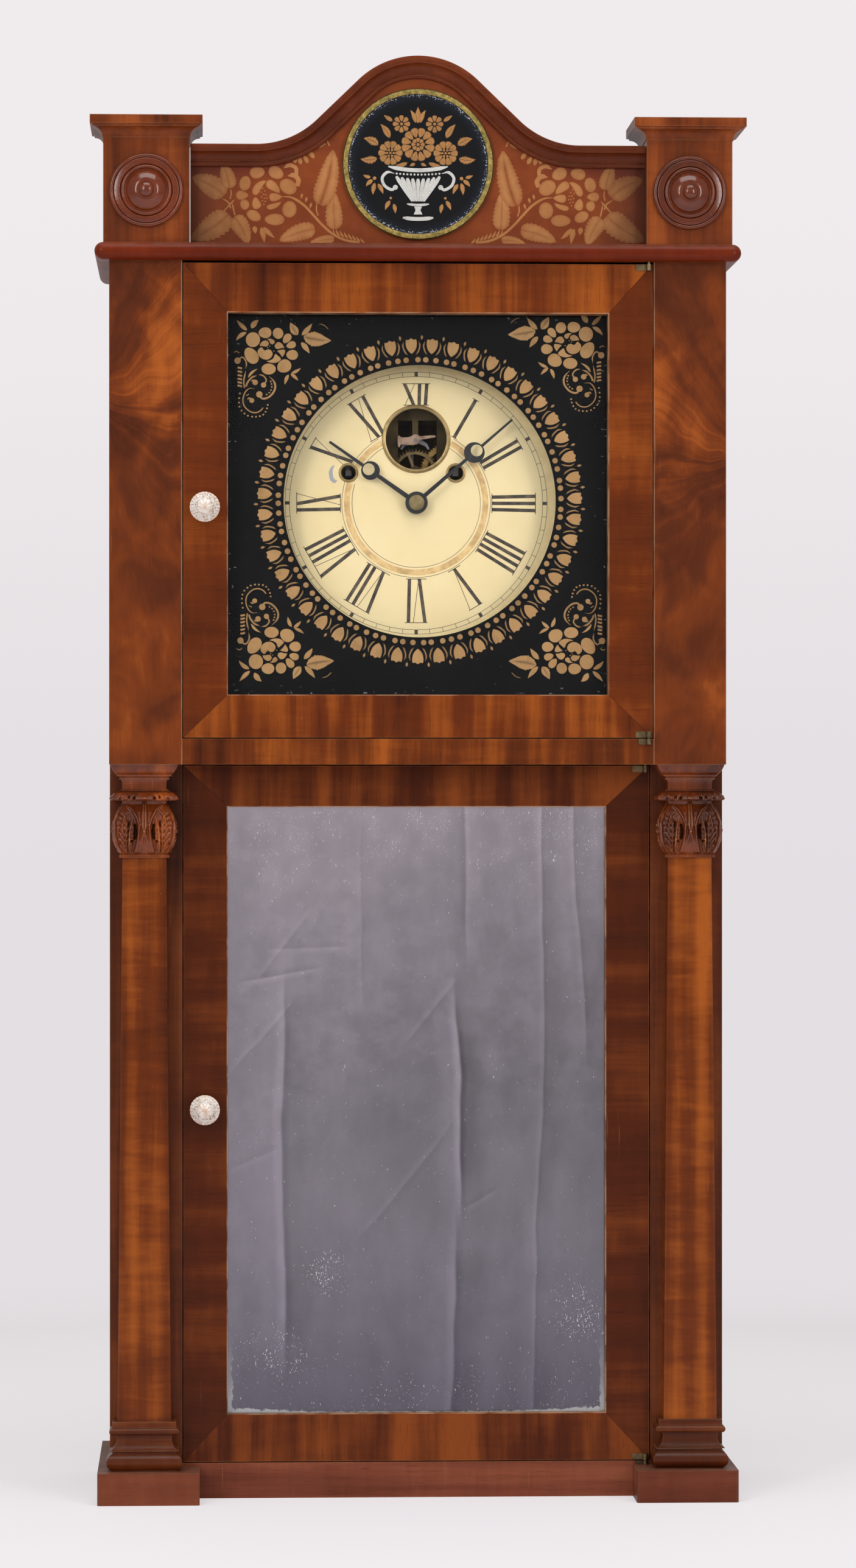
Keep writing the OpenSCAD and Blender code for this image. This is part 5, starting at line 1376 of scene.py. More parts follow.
def discs(x, z, radius, n=6, soft=0.0):  # round spots, perhaps fading to the rim
    x, z, radius = spread(x, z, radius)
    du, dv = roundGrid(n)
    shade = 1 - soft * np.clip(np.hypot(du, dv) ** 3, 0, 1)
    return x + radius * du, z + radius * dv, np.broadcast_to(shade, (len(x), n, n))


def ringBand(cx, cz, r0, r1, a0=0.0, a1=360.0, steps=96, shade=1.0):
    # a flat ring or part of one, between two radii; a whole ring is two half rings
    if abs(a1 - a0) >= 360:
        halves = [ringBand(cx, cz, r0, r1, a, a + 180, steps // 2, shade) for a in (a0, a0 + 180)]
        return tuple(np.concatenate(v) for v in zip(*halves))
    a = np.radians(np.linspace(a0, a1, steps + 1))[None, :, None]
    r = np.array([r0, r1])[None, None, :]
    x, z = cx + r * np.cos(a), cz + r * np.sin(a)
    return x, z, np.full_like(x, shade)


def placed(shape, x, z, turn=0.0):  # the shape's grids turned by degrees and moved
    sx, sz, shade = shape
    c, s = np.cos(np.radians(turn)), np.sin(np.radians(turn))
    return x + (c * sx - s * sz), z + (s * sx + c * sz), shade


def dimmed(shape, share):  # the same shape with less powder
    x, z, shade = shape
    return x, z, shade * share


def stencilFinish(name, tint, ground, speck, grain, rough, level=0.25):
    # bronze powder rubbed through a stencil: each shape fades into its ground where its
    # shade is low, with a fine uneven stipple
    material, s = newMaterial(name)
    point = s.point()
    stipple = s.ramp(s.noise(point, grain, 4.0, 0.7), [(0.40, 1.0), (0.62, 0.0)])
    cloud = s.noise(point, 110.0, 4.0, 0.6)
    amount = s.held("shade") * s.ramp(cloud, [(0.25, 0.72), (0.6, 1.0)])
    powder = s.mix(s.ramp(cloud, [(0.3, 0.0), (0.75, 1.0)]), tint, scaled(tint, 0.8))
    s.dress(Base_Color=s.mix((amount - stipple * speck).clamped(), ground, powder),
            Roughness=rough, Specular_IOR_Level=level)
    return material


dialLook = {
    "centre": (0.0, 688.5), "face": -37.0, "track": (87.9, 91.0), "numeral": (52.6, 82.9),
    "thick": 1.2, "thin": 0.2, "band": (46.1, 50.1), "lines": (44.6, 51.6),
    "gilt": (91.7, 99.0), "holes": (120.0, 149.0, 163.0, 420.0), "shortTwelve": 68.0,
    "ink": (42, 38, 40), "bandTint": (204, 166, 110), "giltShade": 0.4, "trackHalf": 0.15,
    "lineHalf": 0.16, "marks": ((60, 0.0, 0.16), (12, 0.1, 1.15)),  # count, overlap, half width
}


def numeralStrokes(text, look):
    # a Roman numeral in its own upright frame: x across, z outward from the dial's
    # centre; strokes as (x at foot, x at head, half width), with the foot towards the
    # centre and the head outward, then one long serif across each end
    low, high = look["numeral"]
    low = look["shortTwelve"] if text == "XII" else low
    bar, hair = look["thick"], look["thin"]
    wide = {"I": 5.0, "V": 10.8, "X": 9.8}
    strokes, at = [], 0.0
    for sign in text:
        w = wide[sign]
        mid = at + w / 2
        if sign == "I":
            strokes.append((mid, mid, bar))
        elif sign == "V":
            strokes += [(mid, mid - w / 2 + bar + 0.6, bar), (mid + 0.5, mid + w / 2 - 0.9, hair)]
        else:
            strokes += [(mid + w / 2 - bar - 0.6, mid - w / 2 + bar + 0.6, bar),
                        (mid - w / 2 + 0.9, mid + w / 2 - 0.9, hair)]
        at += w
    half = at / 2
    foot, head, size = np.transpose(strokes)
    rows = blades((foot - half) * 0.86, low, head - half, high, size, rows=6, cols=3)
    ends = [blades(-half * k, r, half * k, r, hair * 1.3, rows=5, cols=3)
            for k, r in ((0.9, low), (1.0, high))]
    return [rows] + ends


def dialMarks(look):
    cx, cz = look["centre"]
    names = "XII I II III IIII V VI VII VIII IX X XI".split()
    shapes = [placed(stroke, cx, cz, -30.0 * hour) for hour, text in enumerate(names)
              for stroke in numeralStrokes(text, look)]
    inner, outer = look["track"]
    half = look["trackHalf"]
    shapes += [ringBand(cx, cz, r - half, r + half, steps=180) for r in (inner, outer)]
    half = look["lineHalf"]
    a0, a1, a2, a3 = look["holes"]
    for r in look["lines"]:
        shapes += [ringBand(cx, cz, r - half, r + half, *part)
                   for part in ((a0, a1, 20), (a2, a3, 100))]
    for count, over, half in look["marks"]:  # for the minutes, then for the hours
        a = np.radians(np.arange(count) * 360.0 / count)
        s, c = np.sin(a), np.cos(a)
        shapes.append(blades(cx + inner * s, cz + inner * c, cx + (outer + over) * s,
                             cz + (outer + over) * c, half, rows=3, cols=3))
    return film(shapes, look["face"])


def dialBands(look):
    cx, cz = look["centre"]
    a0, a1, a2, a3 = look["holes"]
    return film([ringBand(cx, cz, *look["band"], a0, a1, 24),
                 ringBand(cx, cz, *look["band"], a2, a3, 120),
                 ringBand(cx, cz, *look["gilt"], steps=180, shade=look["giltShade"])],
                look["face"], 0.03)


dialInk = stencilFinish("dialInk", dialLook["ink"], (150, 130, 100), 0.12, 900.0, 0.45)
dialTan = stencilFinish("dialTan", dialLook["bandTint"], (228, 208, 158), 0.10, 900.0, 0.5)
paintedPiece("dialNumerals", dialMarks(dialLook), "case", dialInk, "dial_paint")
paintedPiece("dialBands", dialBands(dialLook), "case", dialTan, "dial_paint")
print("dial painted")


glassLook = {
    "centre": (1.6, 688.7), "round": 93.9, "half": 134.4, "low": 551.3, "high": 820.6,
    "back": -59.0, "thick": 0.3, "petals": 47, "phase": 1.2, "petalFoot": 101.9,
    "petalHead": 111.3, "petalHalf": 3.9, "dots": (92, 97.6, 1.9), "cupDim": 0.72,
    "diamonds": (113.0, 1.7, 0.95), "middle": (0.8, 686.4), "dim": 0.84, "gold": (178, 138, 91),
    "shield": [(0, 0.04), (0.11, 0.36), (0.27, 0.68), (0.47, 0.90), (0.72, 1.0), (0.9, 0.97),
               (1, 0.90)],
    "corners": [(1, 1, 0, 0), (-1, 1, 1.4, 4.6), (1, -1, 2.0, 4.8), (-1, -1, 2.0, 4.8)],
}


def glassGround(look):
    # the black ground: from the round opening out to the rebate's square edge, front and
    # back sheets joined round both rims
    cx, cz = look["centre"]
    a = np.linspace(0, 2 * np.pi, 361)[:-1]
    c, s = np.cos(a), np.sin(a)
    toSide = look["half"] / np.maximum(np.abs(c), 1e-9)
    toEnd = np.where(s > 0, look["high"] - cz, cz - look["low"]) / np.maximum(np.abs(s), 1e-9)
    far = np.minimum(toSide, toEnd)
    t = np.array([0.0, 0.02, 0.3, 0.7, 1.0])[:, None]
    r = look["round"] + t * (far - look["round"])
    x, z = cx + r * c, cz + r * s
    front = np.stack([x, np.full_like(x, look["back"] + 0.05), z], -1)
    rear = np.stack([x, np.full_like(x, look["back"] + look["thick"]), z], -1)
    rows = np.concatenate([front, rear[::-1]])
    return rows.reshape(-1, 3), [gridFaces(len(rows), len(a), wrapRows=True, wrapCols=True)]


def eggs(table, n=9, soft=0.0, dim=0.0):
    # round petals: rows of middle x and z, half length, half width, turn in degrees and
    # egg, the share by which the far end is wider than the near one
    t = np.asarray(table, float)
    cx, cz, a, b, turn, egg = [t[:, k][:, None, None] for k in range(6)]
    du, dv = roundGrid(n)
    lx, lz = a * du, b * dv * (1 + egg * du)
    c, s = np.cos(np.radians(turn)), np.sin(np.radians(turn))
    edge = np.clip(np.hypot(du, dv), 0, 1)
    shade = (1 - soft * edge ** 5) * (1 - dim * (1 - edge))
    return cx + c * lx - s * lz, cz + s * lx + c * lz, np.broadcast_to(shade, (len(t), n, n))


leafOutline = [(0, 0.1), (0.12, 0.62), (0.35, 1.0), (0.6, 0.82), (0.82, 0.42), (0.96, 0.12),
               (1, 0.03)]
broadOutline = [(0, 0.3), (0.05, 0.66), (0.14, 0.9), (0.28, 1.0), (0.5, 0.93), (0.72, 0.72),
                (0.88, 0.46), (1, 0.1)]


def leaves(table, **kind):
    # pointed leaves: rows of foot x and z, tip x and z, half width and sideways bow
    t = np.asarray(table, float)
    return blades(t[:, 0], t[:, 1], t[:, 2], t[:, 3], t[:, 4], t[:, 5],
                  **{"outline": leafOutline, "rows": 11, "cols": 7, **kind})


def smoothed(points):  # a line through points, by a cubic over every four of them
    p = np.asarray(points, float)
    p = np.concatenate([[2 * p[0] - p[1]], p, [2 * p[-1] - p[-2]]])
    t = np.linspace(0, 1, 7)[:-1][:, None]
    lines = []
    for i in range(1, len(p) - 2):
        a, b, c, d = p[i - 1], p[i], p[i + 1], p[i + 2]
        lines.append(0.5 * (2 * b + (c - a) * t + (2 * a - 5 * b + 4 * c - d) * t ** 2
                            + (3 * b - a - 3 * c + d) * t ** 3))
    return np.concatenate(lines + [p[-2:-1]])


def between(outer, inner, rows=15, cols=6):
    # a patch between two edges that share their ends: both are cut into lengths of equal
    # share, and straight lines join them
    edges = []
    for edge in (outer, inner):
        line = smoothed(edge)
        run = np.concatenate([[0], np.cumsum(np.hypot(*np.diff(line, axis=0).T))])
        u = np.linspace(0.015, 0.985, rows) * run[-1]
        edges.append(np.stack([np.interp(u, run, line[:, k]) for k in (0, 1)], -1))
    c = np.linspace(0, 1, cols)[None, :, None]
    grid = edges[0][:, None] * (1 - c) + edges[1][:, None] * c
    return grid[None, ..., 0], grid[None, ..., 1], np.ones((1, rows, cols))


def curl(points, half, bulb=0.0, tail=0.5):
    # a fine smoothed stroke that thins to its ends, with a round bulb at the last point
    line = smoothed(points)
    step = np.gradient(line, axis=0)
    step /= np.linalg.norm(step, axis=1)[:, None]
    across = np.stack([-step[:, 1], step[:, 0]], -1)
    u = np.linspace(0, 1, len(line))
    wide = half * np.clip(np.minimum(u, 1 - tail * u) * 5, 0.25, 1)
    c = np.array([-1.0, 0.0, 1.0])
    grid = line[:, None, :] + (wide[:, None] * c[None, :])[..., None] * across[:, None, :]
    shapes = [(grid[..., 0][None], grid[..., 1][None], np.ones((1,) + grid.shape[:2]))]
    if bulb:
        shapes.append(discs(*points[-1], bulb, 7))
    return shapes


glassSpray = {
    "petals": [(-105.1, 804.5, 4.4, 3.7, 0, 0.1), (-96.1, 804.1, 3.8, 3.6, -75, 0.0),
               (-113.4, 799.7, 5.1, 4.9, 80, 0), (-114.5, 788.7, 6.1, 4.3, -55, 0.1),
               (-102.6, 779.5, 4.9, 3.8, 0, 0), (-91.9, 781.5, 5.0, 4.4, 32, 0.1),
               (-86.4, 789.3, 4.0, 3.4, 0, 0.1), (-87.1, 796.1, 3.3, 2.4, 18, 0.2),
               (-90.0, 800.6, 3.7, 2.5, 52, 0.2)],
    "curled": [  # the petals of the heart, each between an outer and an inner edge
        ([(-107.8, 794.6), (-110.1, 792.1), (-109.5, 788.8), (-106.7, 786.4), (-103.0, 786.1),
          (-100.3, 788.2), (-99.8, 790.6)],
         [(-107.8, 794.6), (-106.9, 794.0), (-106.0, 792.7), (-105.0, 792.2), (-103.3, 793.0),
          (-101.4, 792.7), (-99.8, 790.6)]),
        ([(-108.8, 795.4), (-107.8, 797.6), (-105.6, 799.1), (-103.3, 798.7), (-102.3, 796.9)],
         [(-108.8, 795.4), (-107.3, 795.4), (-105.6, 795.1), (-103.6, 795.2), (-102.3, 796.9)]),
        ([(-103.9, 800.1), (-101.3, 800.4), (-99.0, 799.4), (-98.3, 798.1)],
         [(-103.9, 800.1), (-102.4, 799.3), (-101.6, 797.6), (-100.6, 796.6), (-99.3, 796.8),
          (-98.3, 798.1)]),
        ([(-98.5, 795.6), (-96.7, 797.9), (-94.2, 797.6), (-92.5, 795.6), (-92.0, 793.9)],
         [(-98.5, 795.6), (-97.9, 793.9), (-95.9, 793.3), (-93.9, 794.0), (-92.0, 793.9)]),
        ([(-96.7, 791.9), (-94.8, 792.6), (-91.7, 792.8), (-91.5, 790.5), (-93.3, 787.7)],
         [(-96.7, 791.9), (-95.3, 790.6), (-94.2, 789.3), (-93.3, 787.7)]),
        ([(-104.1, 784.9), (-101.3, 783.9), (-97.9, 783.8), (-95.0, 785.1), (-94.2, 786.8),
          (-97.9, 790.1)],
         [(-104.1, 784.9), (-101.3, 785.6), (-99.3, 787.0), (-98.6, 788.8), (-97.9, 790.1)]),
    ],
    "leaves": [(-117.5, 806.2, -124.6, 813.2, 1.5, 0.3),
               (-114.2, 807.4, -109.4, 813.2, 2.0, 0.8),
               (-118.0, 804.6, -125.0, 799.0, 1.5, -0.8),
               (-79.7, 803.0, -72.7, 811.0, 1.8, -0.4),
               (-80.2, 797.8, -74.4, 790.4, 1.9, 0.3),
               (-86.8, 776.8, -80.4, 780.4, 1.1, -0.5),
               (-87.4, 776.3, -82.2, 771.6, 1.2, 0.3),
               (-88.8, 775.6, -91.4, 768.8, 1.3, -0.5),
               (-116.6, 773.6, -110.0, 779.6, 0.9, 0.9)],
    "sawn": [((-82.6, 803.2, -87.6, 811.6, 3.0, 0.4), 21, 5, 0.15, 0.5),  # rows, teeth, bite, vein
             ((-78.4, 801.8, -59.6, 799.2, 5.5, -0.6), 37, 9, 0.2, 0.6)],
    "dashes": (780, 777.4, 774.8, 772.3, 769.9, 767.6),
    "spots": [  # x of each, z of each, and the radius
        ((-103.3, -101.9, -99.0), (794.2, 795.2, 791.8), 0.35),
        ((-122.4, -122.9, -123.0, -122.7, -121.3, -119.2, -116.9, -114.0, -111.3, -108.6, -106.3,
          -104.7, -103.7, -103.2),
         (762.6, 759.4, 756.3, 753.5, 750.8, 748.8, 747.3, 746.6, 746.6, 747.0, 748.1, 750.0,
          752.4, 754.8), 0.62),
        ((-101.2, -100.6, -100.4, -101.0, -102.2, -104.0),
         (771.0, 769.2, 767.2, 765.0, 763.2, 762.0), 0.55)],
    "strokes": [  # the line, half its width and its bulb
        ([(-118.3, 779.8), (-118.0, 784), (-120.6, 787.6), (-124, 785.2)], 0.55, 2.2),
        ([(-118.4, 778), (-119.7, 771.5), (-119.2, 766.4)], 0.55, 0),
        ([(-126.6, 790.8), (-124.6, 791.6), (-122.9, 790.4)], 0.35, 0),
        ([(-110.8, 775), (-114.2, 773.6), (-117, 770.4), (-118.2, 767.4)], 0.7, 0),
        ([(-114.6, 771.0), (-113.4, 771.8), (-111.9, 770.3)], 0.5, 1.9),
        ([(-109.6, 775.6), (-106.4, 774.9), (-104.2, 771.8), (-106.1, 768.5)], 0.55, 1.8),
        ([(-102.2, 774.4), (-99.0, 771), (-98.0, 767), (-99.6, 763), (-103, 759.9),
          (-107, 759.2), (-109.0, 762.0)], 0.75, 2.2),
        ([(-112.4, 765.9), (-116, 766), (-119, 763), (-120.3, 758), (-119, 753.4), (-115, 750),
          (-111, 749.5), (-108, 751), (-106.4, 752.9)], 0.5, 0),
        ([(-117.2, 758.4), (-115.8, 759.6), (-114.2, 757.8)], 0.5, 1.7),
        ([(-118.2, 761), (-116.2, 762.2)], 0.35, 0),
        ([(-67.8, 810.8), (-64.4, 809.8), (-61.6, 807.2)], 0.3, 0)],
    "dim": 0.86, "thin": 0.85,
}


def cornerSpray(look):
    # one corner of the glass, in millimetres from the clock's middle line and the floor:
    # a rose of round petals about a ring of curled ones, leaves, and scrolls with bulbs
    middle, *beads = [discs(x, z, radius, 4) for x, z, radius in look["spots"]]
    shapes = [eggs(look["petals"], 11), middle, leaves(look["leaves"])]
    shapes += [leaves([row], rows=rows, teeth=teeth, bite=bite, vein=vein)
               for row, rows, teeth, bite, vein in look["sawn"]]
    shapes += [between(outer, inner) for outer, inner in look["curled"]]
    z = np.array(look["dashes"])
    shapes += [blades(-124.0, z + 0.3, -121.0, z - 0.3, 0.62, 0.3, 5, 3), *beads]
    for line, half, bulb in look["strokes"]:
        shapes += [dimmed(shape, look["dim"]) for shape in curl(line, half * look["thin"], bulb)]
    return shapes


def glassBorder(look):
    # shields with three-cusped crowns round the opening, each in two thin crescents,
    # diamonds between them, dots inside them, and the same spray in every corner
    cx, cz = look["centre"]
    n, foot, head, half = look["petals"], look["petalFoot"], look["petalHead"], look["petalHalf"]
    x, z, shade = blades(0, foot, 0, head, half, rows=12, cols=13, outline=look["shield"])
    top = np.clip((z - head + 1.6) / 1.6, 0, 1)
    petal = (x, z + 1.2 * top * (0.35 + 0.65 * np.exp(-(x / 1.3) ** 2))
             * np.abs(np.cos(x / half * np.pi)) ** 1.3, shade)
    cups = []
    for side in (-1, 1):
        cups += curl([(side * 5.2, head - 1.2), (side * 5.9, head - 3.9), (side * 5.4, foot + 3.3),
                      (side * 4.4, foot + 1.0), (side * 3.0, foot - 0.7)], 0.48, 0.0, 1.0)
    shapes = []
    one = [petal] + [dimmed(cup, look["cupDim"]) for cup in cups]
    for k in range(n):
        turn = look["phase"] - 90 + k * 360.0 / n
        shapes += [placed(shape, cx, cz, turn) for shape in one]
    count, r, size = look["dots"]
    k = np.arange(count)
    a = np.radians((k + 0.12 * np.sin(k * 2.4)) * 360.0 / count + look["phase"])
    shapes.append(dimmed(discs(cx + r * np.cos(a), cz + r * np.sin(a), size, 7), look["dim"]))
    h = np.radians((np.arange(n) + 0.5) * 360.0 / n + look["phase"])
    c, s = np.cos(h), np.sin(h)
    r, reach, half = look["diamonds"]
    gx, gz = cx + r * c, cz + r * s
    shapes.append(dimmed(blades(
        gx - reach * c, gz - reach * s, gx + reach * c, gz + reach * s, half, rows=7, cols=3,
        outline=[(0, 0.05), (0.5, 1), (1, 0.05)]), look["dim"]))
    spray = cornerSpray(glassSpray)
    mx, mz = look["middle"]
    for flip, over, dx, dz in look["corners"]:
        shapes += [(mx + dx + flip * (x - mx), mz + dz + over * (z - mz), shade)
                   for x, z, shade in spray]
    return film(shapes, look["back"] + 0.05, 0.04, 0.05)


goldLeaf = stencilFinish("glassGold", glassLook["gold"], (60, 48, 34), 0.14, 1100.0, 0.5, 0.1)
makePiece("glassGround", *glassGround(glassLook), "upper_door", groundBlack, "glass_paint",
          ["glass_painting"])
paintedPiece("glassGilding", glassBorder(glassLook), "upper_door", goldLeaf, "glass_paint")
print("door glass painted")


crestSpray = {
    "face": -66.0,
    "petals": [(-110.5, 914.0, 5.2, 4.0, 10, -0.1), (-97.6, 914.0, 5.4, 4.2, -28, -0.1),
               (-89.3, 904.4, 6.2, 5.0, -35, 0.0), (-88.4, 888.8, 4.9, 5.7, -10, 0.0),
               (-98.6, 881.8, 6.8, 4.0, 0, 0.1), (-112.9, 884.4, 5.2, 3.6, -28, 0.0),
               (-119.1, 892.0, 3.1, 3.6, 10, -0.1), (-120.9, 898.4, 4.2, 3.0, 0, -0.3),
               (-118.9, 906.6, 3.9, 5.1, -12, 0.0)],
    "heart": [(-112.2, 898.6, -104.6, 908.2, 2.6, 1.7), (-104.2, 907.4, -95.2, 900.2, 3.1, 0.7),
              (-102.2, 896.9, -93.6, 897.5, 2.9, 0.0), (-110.0, 889.2, -111.8, 897.0, 3.1, 0.3),
              (-104.0, 890.2, -94.2, 893.8, 1.9, -0.9)],
    "dots": [(-106.8, 903.2), (-105.4, 901.4), (-107.8, 900.6), (-106.2, 899.0), (-104.6, 898.8),
             (-107.4, 897.2), (-105.6, 896.4), (-106.9, 894.6), (-105.0, 894.2), (-106.0, 892.2),
             (-109.0, 901.8), (-104.0, 896.4)],
    "leaves": [(-133.2, 898.4, -155.0, 910.4, 8.2, -1.5), (-129.6, 903.2, -134.4, 920.2, 5.8, -0.8),
               (-130.2, 885.2, -156.0, 868.4, 9.3, 1.5), (-126.4, 883.4, -117.0, 865.2, 6.6, 1.2),
               (-71.0, 875.4, -95.0, 867.2, 6.4, -1.2), (-57.6, 868.4, -74.4, 865.4, 3.4, -0.8),
               (-57.0, 875.6, -57.8, 901.0, 6.4, 0.5)],
    "upright": [(-67.6, 892.0, -58.6, 929.6, 8.4, -1.5)],
    "drops": [(-112.6, 877.2, -111.6, 872.0, 1.9, 0.0), (-107.9, 876.4, -105.6, 865.8, 2.0, 0.3),
              (-106.2, 876.6, -98.4, 869.0, 1.7, -0.4), (-79.6, 899.8, -80.4, 896.0, 0.9, 0.0),
              (-76.4, 897.4, -77.4, 893.6, 1.0, 0.0), (-73.2, 893.4, -74.4, 889.4, 0.9, 0.0),
              (-84.4, 920.6, -83.6, 926.6, 1.6, 0.4), (-80.4, 919.8, -81.4, 926.2, 1.6, 0.2),
              (-75.6, 920.6, -79.2, 926.6, 1.6, -0.2), (-71.4, 924.0, -75.8, 929.4, 1.7, -0.3),
              (-69.0, 931.6, -63.0, 934.0, 1.6, 0.5)],
    "stems": [([(-95.4, 897.6), (-87, 897.0), (-79, 892.2), (-72, 885), (-66, 878.4), (-58, 871.6),
                (-49, 867.6), (-40, 866.6)], 0.85),
              ([(-128.8, 902.8), (-128.4, 899.4), (-129.2, 895.8)], 0.45),
              ([(-134.6, 896.2), (-130.4, 893.4), (-128.6, 889.4)], 0.5),
              ([(-126.2, 895.4), (-129.6, 891.6), (-133.2, 887.6)], 0.5),
              ([(-127.6, 893.0), (-126.8, 888.6), (-125.8, 884.6)], 0.5),
              ([(-69.6, 893.2), (-69.8, 888.2), (-68.6, 884.6)], 0.45),
              ([(-58.4, 875.8), (-57.6, 872.6), (-55.4, 870.4)], 0.4),
              ([(-66.0, 936.4), (-62.6, 935.8), (-60.8, 932.6)], 0.5)],
    "moons": [([(-92.4, 917.2), (-88.2, 919.2), (-84.0, 917.2), (-83.6, 912.6)], 1.3),
              ([(-89.4, 911.8), (-85.2, 912.2), (-82.2, 909.0), (-83.2, 904.8)], 1.6)],
    "fern": (-55.0, 870.4, -38.0, 866.0, 7),
}


def crestStencil(look):
    # a rose with two rings of petals about a dotted heart, saw-edged leaves, a long stem
    # with buds, and a small fern beside the round picture; the same on both sides
    shapes = [eggs(look["petals"], 11, 0.4, 0.1),
              leaves(look["heart"], rows=13, cols=9, soft=0.3, outline=broadOutline),
              discs(*np.transpose(look["dots"]), 0.55, 5, 0.5),
              leaves(look["leaves"], rows=55, cols=11, teeth=9, bite=0.2, vein=0.4, soft=0.35,
                     rib=0.11, outline=broadOutline),
              leaves(look["upright"], rows=61, cols=11, teeth=13, bite=0.2, vein=0.8, soft=0.45,
                     rib=0.2, outline=broadOutline),
              leaves(look["drops"], soft=0.3)]
    for line, half in look["stems"] + look["moons"]:
        shapes += curl(line, half)
    x0, z0, x1, z1, n = look["fern"]
    t = np.linspace(0, 1, n)
    x, z = x0 + (x1 - x0) * t, z0 + (z1 - z0) * t
    shapes.append(blades(x + 1.4, z, x - 1.4, z + 5.2 - 1.8 * t, 0.95, 0.5, 7, 5,
                         [(0, 0.3), (0.4, 1), (1, 0.15)], soft=0.6))
    shapes.append(blades(x[::2] + 2.4, z[::2] - 2.2, x[::2] - 0.4, z[::2] - 0.6, 0.5, 0.0, 5, 3,
                         [(0, 0.3), (0.5, 1), (1, 0.2)]))
    other = [(-x, z, shade) for x, z, shade in shapes]
    return film(shapes + other, look["face"], 0.05, 0.05)


paintedPiece("crestStencil", crestStencil(crestSpray), "case", crestPowder, "crest_paint")


roundelLook = {
    "centre": (0.0, 920.0), "back": -66.0, "field": -69.0,
    "profile": [[0, 0], [51.7, 0], [52, 0.4], [52, 3.3], [51.3, 3.9], [50, 4.0], [48.6, 3.9],
                [47.9, 3.3], [47.2, 3.05], [46, 3.0], [24, 3.0], [0, 3.0]],
    "white": (232, 229, 222), "bronze": (204, 146, 86), "ground": (14, 14, 18),
    "handle": ((16.4, -6.4), (21.0, -5.6), (24.6, -9.4), (23.2, -14.6), (18.4, -17.6),
               (15.6, -16.0)),
    "leaves": [
        ([(27.5, 13.0, 37.5, 17.6, 3.2, 1.0), (28.2, 4.0, 39.6, 3.4, 3.0, -1.0)],
         {"rows": 25, "teeth": 6, "bite": 0.25, "vein": 0.5, "soft": 0.5}),
        ([(19.6, 18.0, 25.8, 27.4, 2.4, 0.8), (17.6, 29.6, 23.6, 33.6, 1.5, 0.0),
          (7.4, 1.0, 15.4, -0.6, 1.5, -0.8), (2.0, 0.4, 5.8, -1.2, 1.2, 0.0)],
         {"vein": 0.4, "soft": 0.4}),
        ([(31.0, -11.0, 35.8, -15.4, 1.6, 0.5), (29.6, -13.0, 31.0, -21.2, 1.7, 0.4),
          (27.6, -13.6, 24.0, -20.6, 1.6, -0.4), (32.6, -9.2, 37.8, -7.6, 1.3, -0.3),
          (19.2, -25.2, 22.6, -31.6, 1.6, 0.4), (16.8, -27.4, 15.6, -34.0, 1.5, -0.3)],
         {"soft": 0.4})],
}
petalOutline = [(0, 0.2), (0.3, 0.62), (0.7, 1.0), (0.9, 0.82), (1, 0.35)]


def flower(cx, cz, rings, eye):
    # rings of petals, each ring given as count, inner and outer radius, half width and
    # turn, about a round eye with a circle of small dots
    shapes = []
    for count, r0, r1, half, turn in rings:
        a = np.radians(np.arange(count) * 360.0 / count + turn)
        c, s = np.cos(a), np.sin(a)
        shapes.append(blades(cx + r0 * c, cz + r0 * s, cx + r1 * c, cz + r1 * s, half, cols=7,
                             outline=petalOutline, soft=0.45, vein=0.25))
    shapes.append(discs(cx, cz, eye, 9, 0.4))
    return shapes


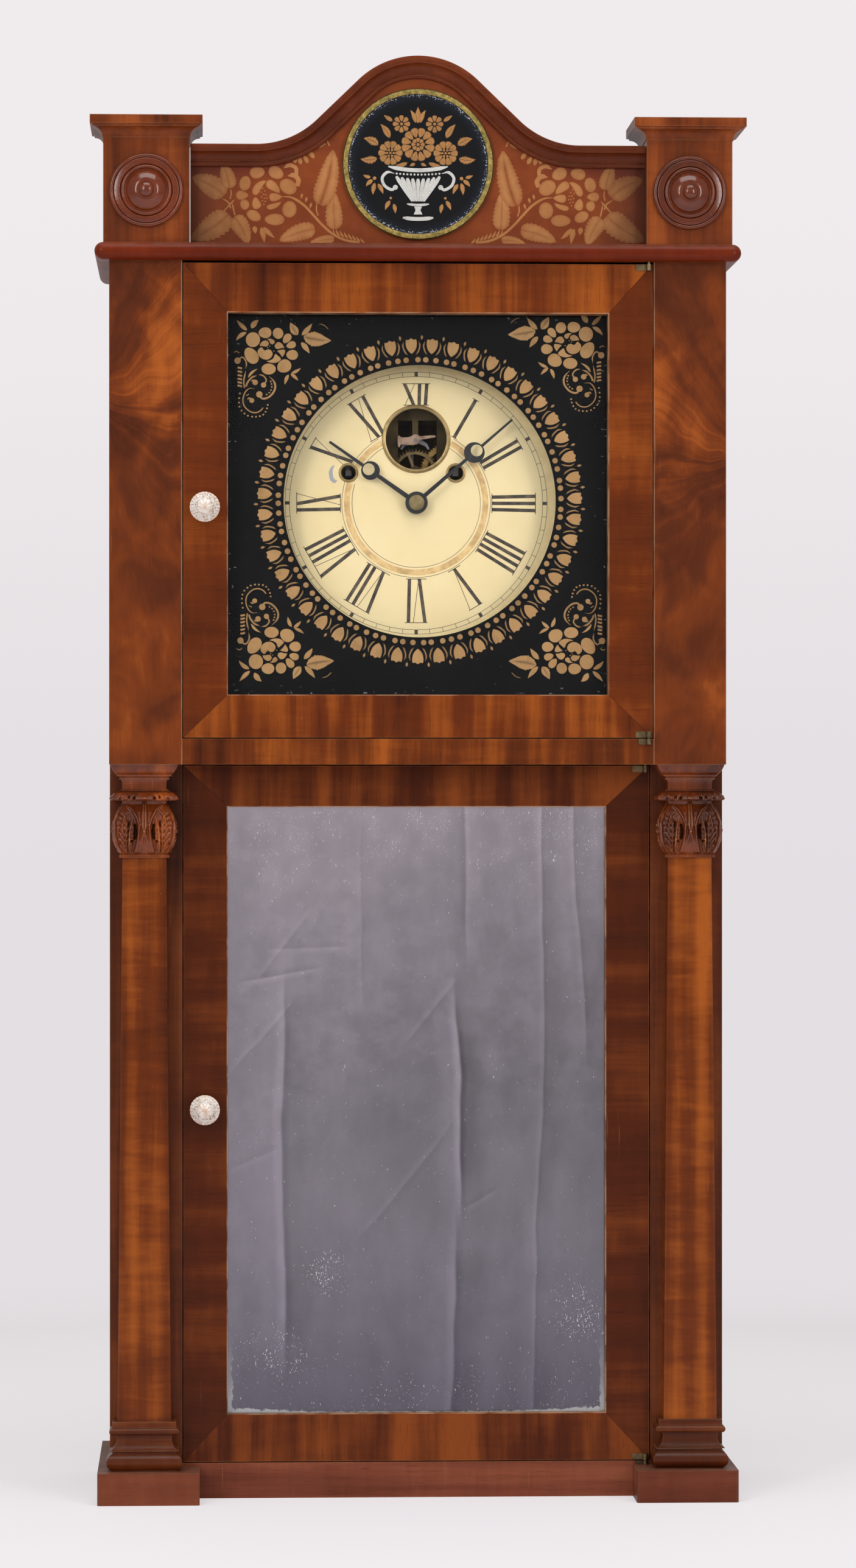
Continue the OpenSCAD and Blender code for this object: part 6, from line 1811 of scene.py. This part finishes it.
def roundelArt(look):
    # a two-handled urn, fluted, with beads under its lip; and a bunch of flowers with
    # leaves on both sides and a hanging sprig beside each handle
    cx, cz = look["centre"]
    k, bead = np.arange(-4, 5), np.arange(-6, 7)

    def level(wide, z, half, bow, rows, cols, end, full):  # a bar that thins at both ends
        return blades(-wide, z, wide, z, half, bow, rows, cols,
                      [(0, end), (full, 1), (1 - full, 1), (1, end)])
    urn = [level(20.5, -1.6, 1.35, -2.6, 25, 5, 0.3, 0.12),
           discs(bead * 2.45, -6.4 - 0.8 * (1 - (bead / 6.5) ** 2), 0.7, 5),
           blades(k * 1.05, -25.6, k * 3.75, -10.0 + 0.10 * k ** 2, 1.42, rows=11,
                  outline=[(0, 0.3), (0.4, 0.72), (0.85, 1), (1, 0.55)]),
           level(7.6, -27.4, 0.85, -0.7, 13, 3, 0.4, 0.2),
           blades(0, -29.2, 0, -34.6, 3.0, outline=[(0, 0.9), (0.45, 0.55), (1, 1.0)]),
           level(10.5, -36.8, 1.3, -0.9, 17, 5, 0.4, 0.15)]
    art = flower(0, 13.5, [(12, 5.0, 11.6, 2.7, 15), (8, 1.6, 4.6, 1.5, 0)], 1.1)
    for side in (-1, 1):
        turn = 90 - side * 90
        urn += curl([(side * px, pz) for px, pz in look["handle"]], 1.0, 1.7)
        art += flower(side * 19.0, 7.6, [(10, 3.0, 8.4, 2.3, turn), (6, 1.3, 3.0, 1.0, turn)], 0.9)
        art += flower(side * 11.4, 27.6, [(8, 1.7, 6.0, 1.7, turn)], 1.1)
        art += [leaves(np.array(table) * (side, 1, side, 1, 1, side), **kind)
                for table, kind in look["leaves"]]
        art.append(discs([side * 29.9, side * 18.8], [-9.8, -23.4], [1.2, 0.9], 6))
    art += [leaves([(0, 28.2, 0, 39.4, 2.3, 0.0), (-1.6, 28.4, -5.4, 37.2, 1.8, -0.8),
                    (1.6, 28.4, 5.4, 37.2, 1.8, 0.8)], soft=0.5)]
    moved = [[placed(shape, cx, cz) for shape in group] for group in (urn, art)]
    return [film(group, look["field"], 0.06, 0.04) for group in moved]


cx, cz = roundelLook["centre"]
makePiece("crestRoundel", *turned(roundelLook["profile"], (cx, roundelLook["back"], cz), 160),
          "case", roundelPaint("roundelGround", roundelTint), "roundel_paint", ["crest_roundel"],
          crease=30)
urn, art = roundelArt(roundelLook)
for name, shapes, label, tint, speck, grain in (
        ("roundelUrn", urn, "roundelWhite", "white", 0.12, 1100.0),
        ("roundelFlowers", art, "roundelBronze", "bronze", 0.18, 900.0)):
    paintedPiece(name, shapes, "case", stencilFinish(
        label, roundelLook[tint], roundelLook["ground"], speck, grain, 0.45, 0.2), "roundel_paint")
print("crest stencilled")
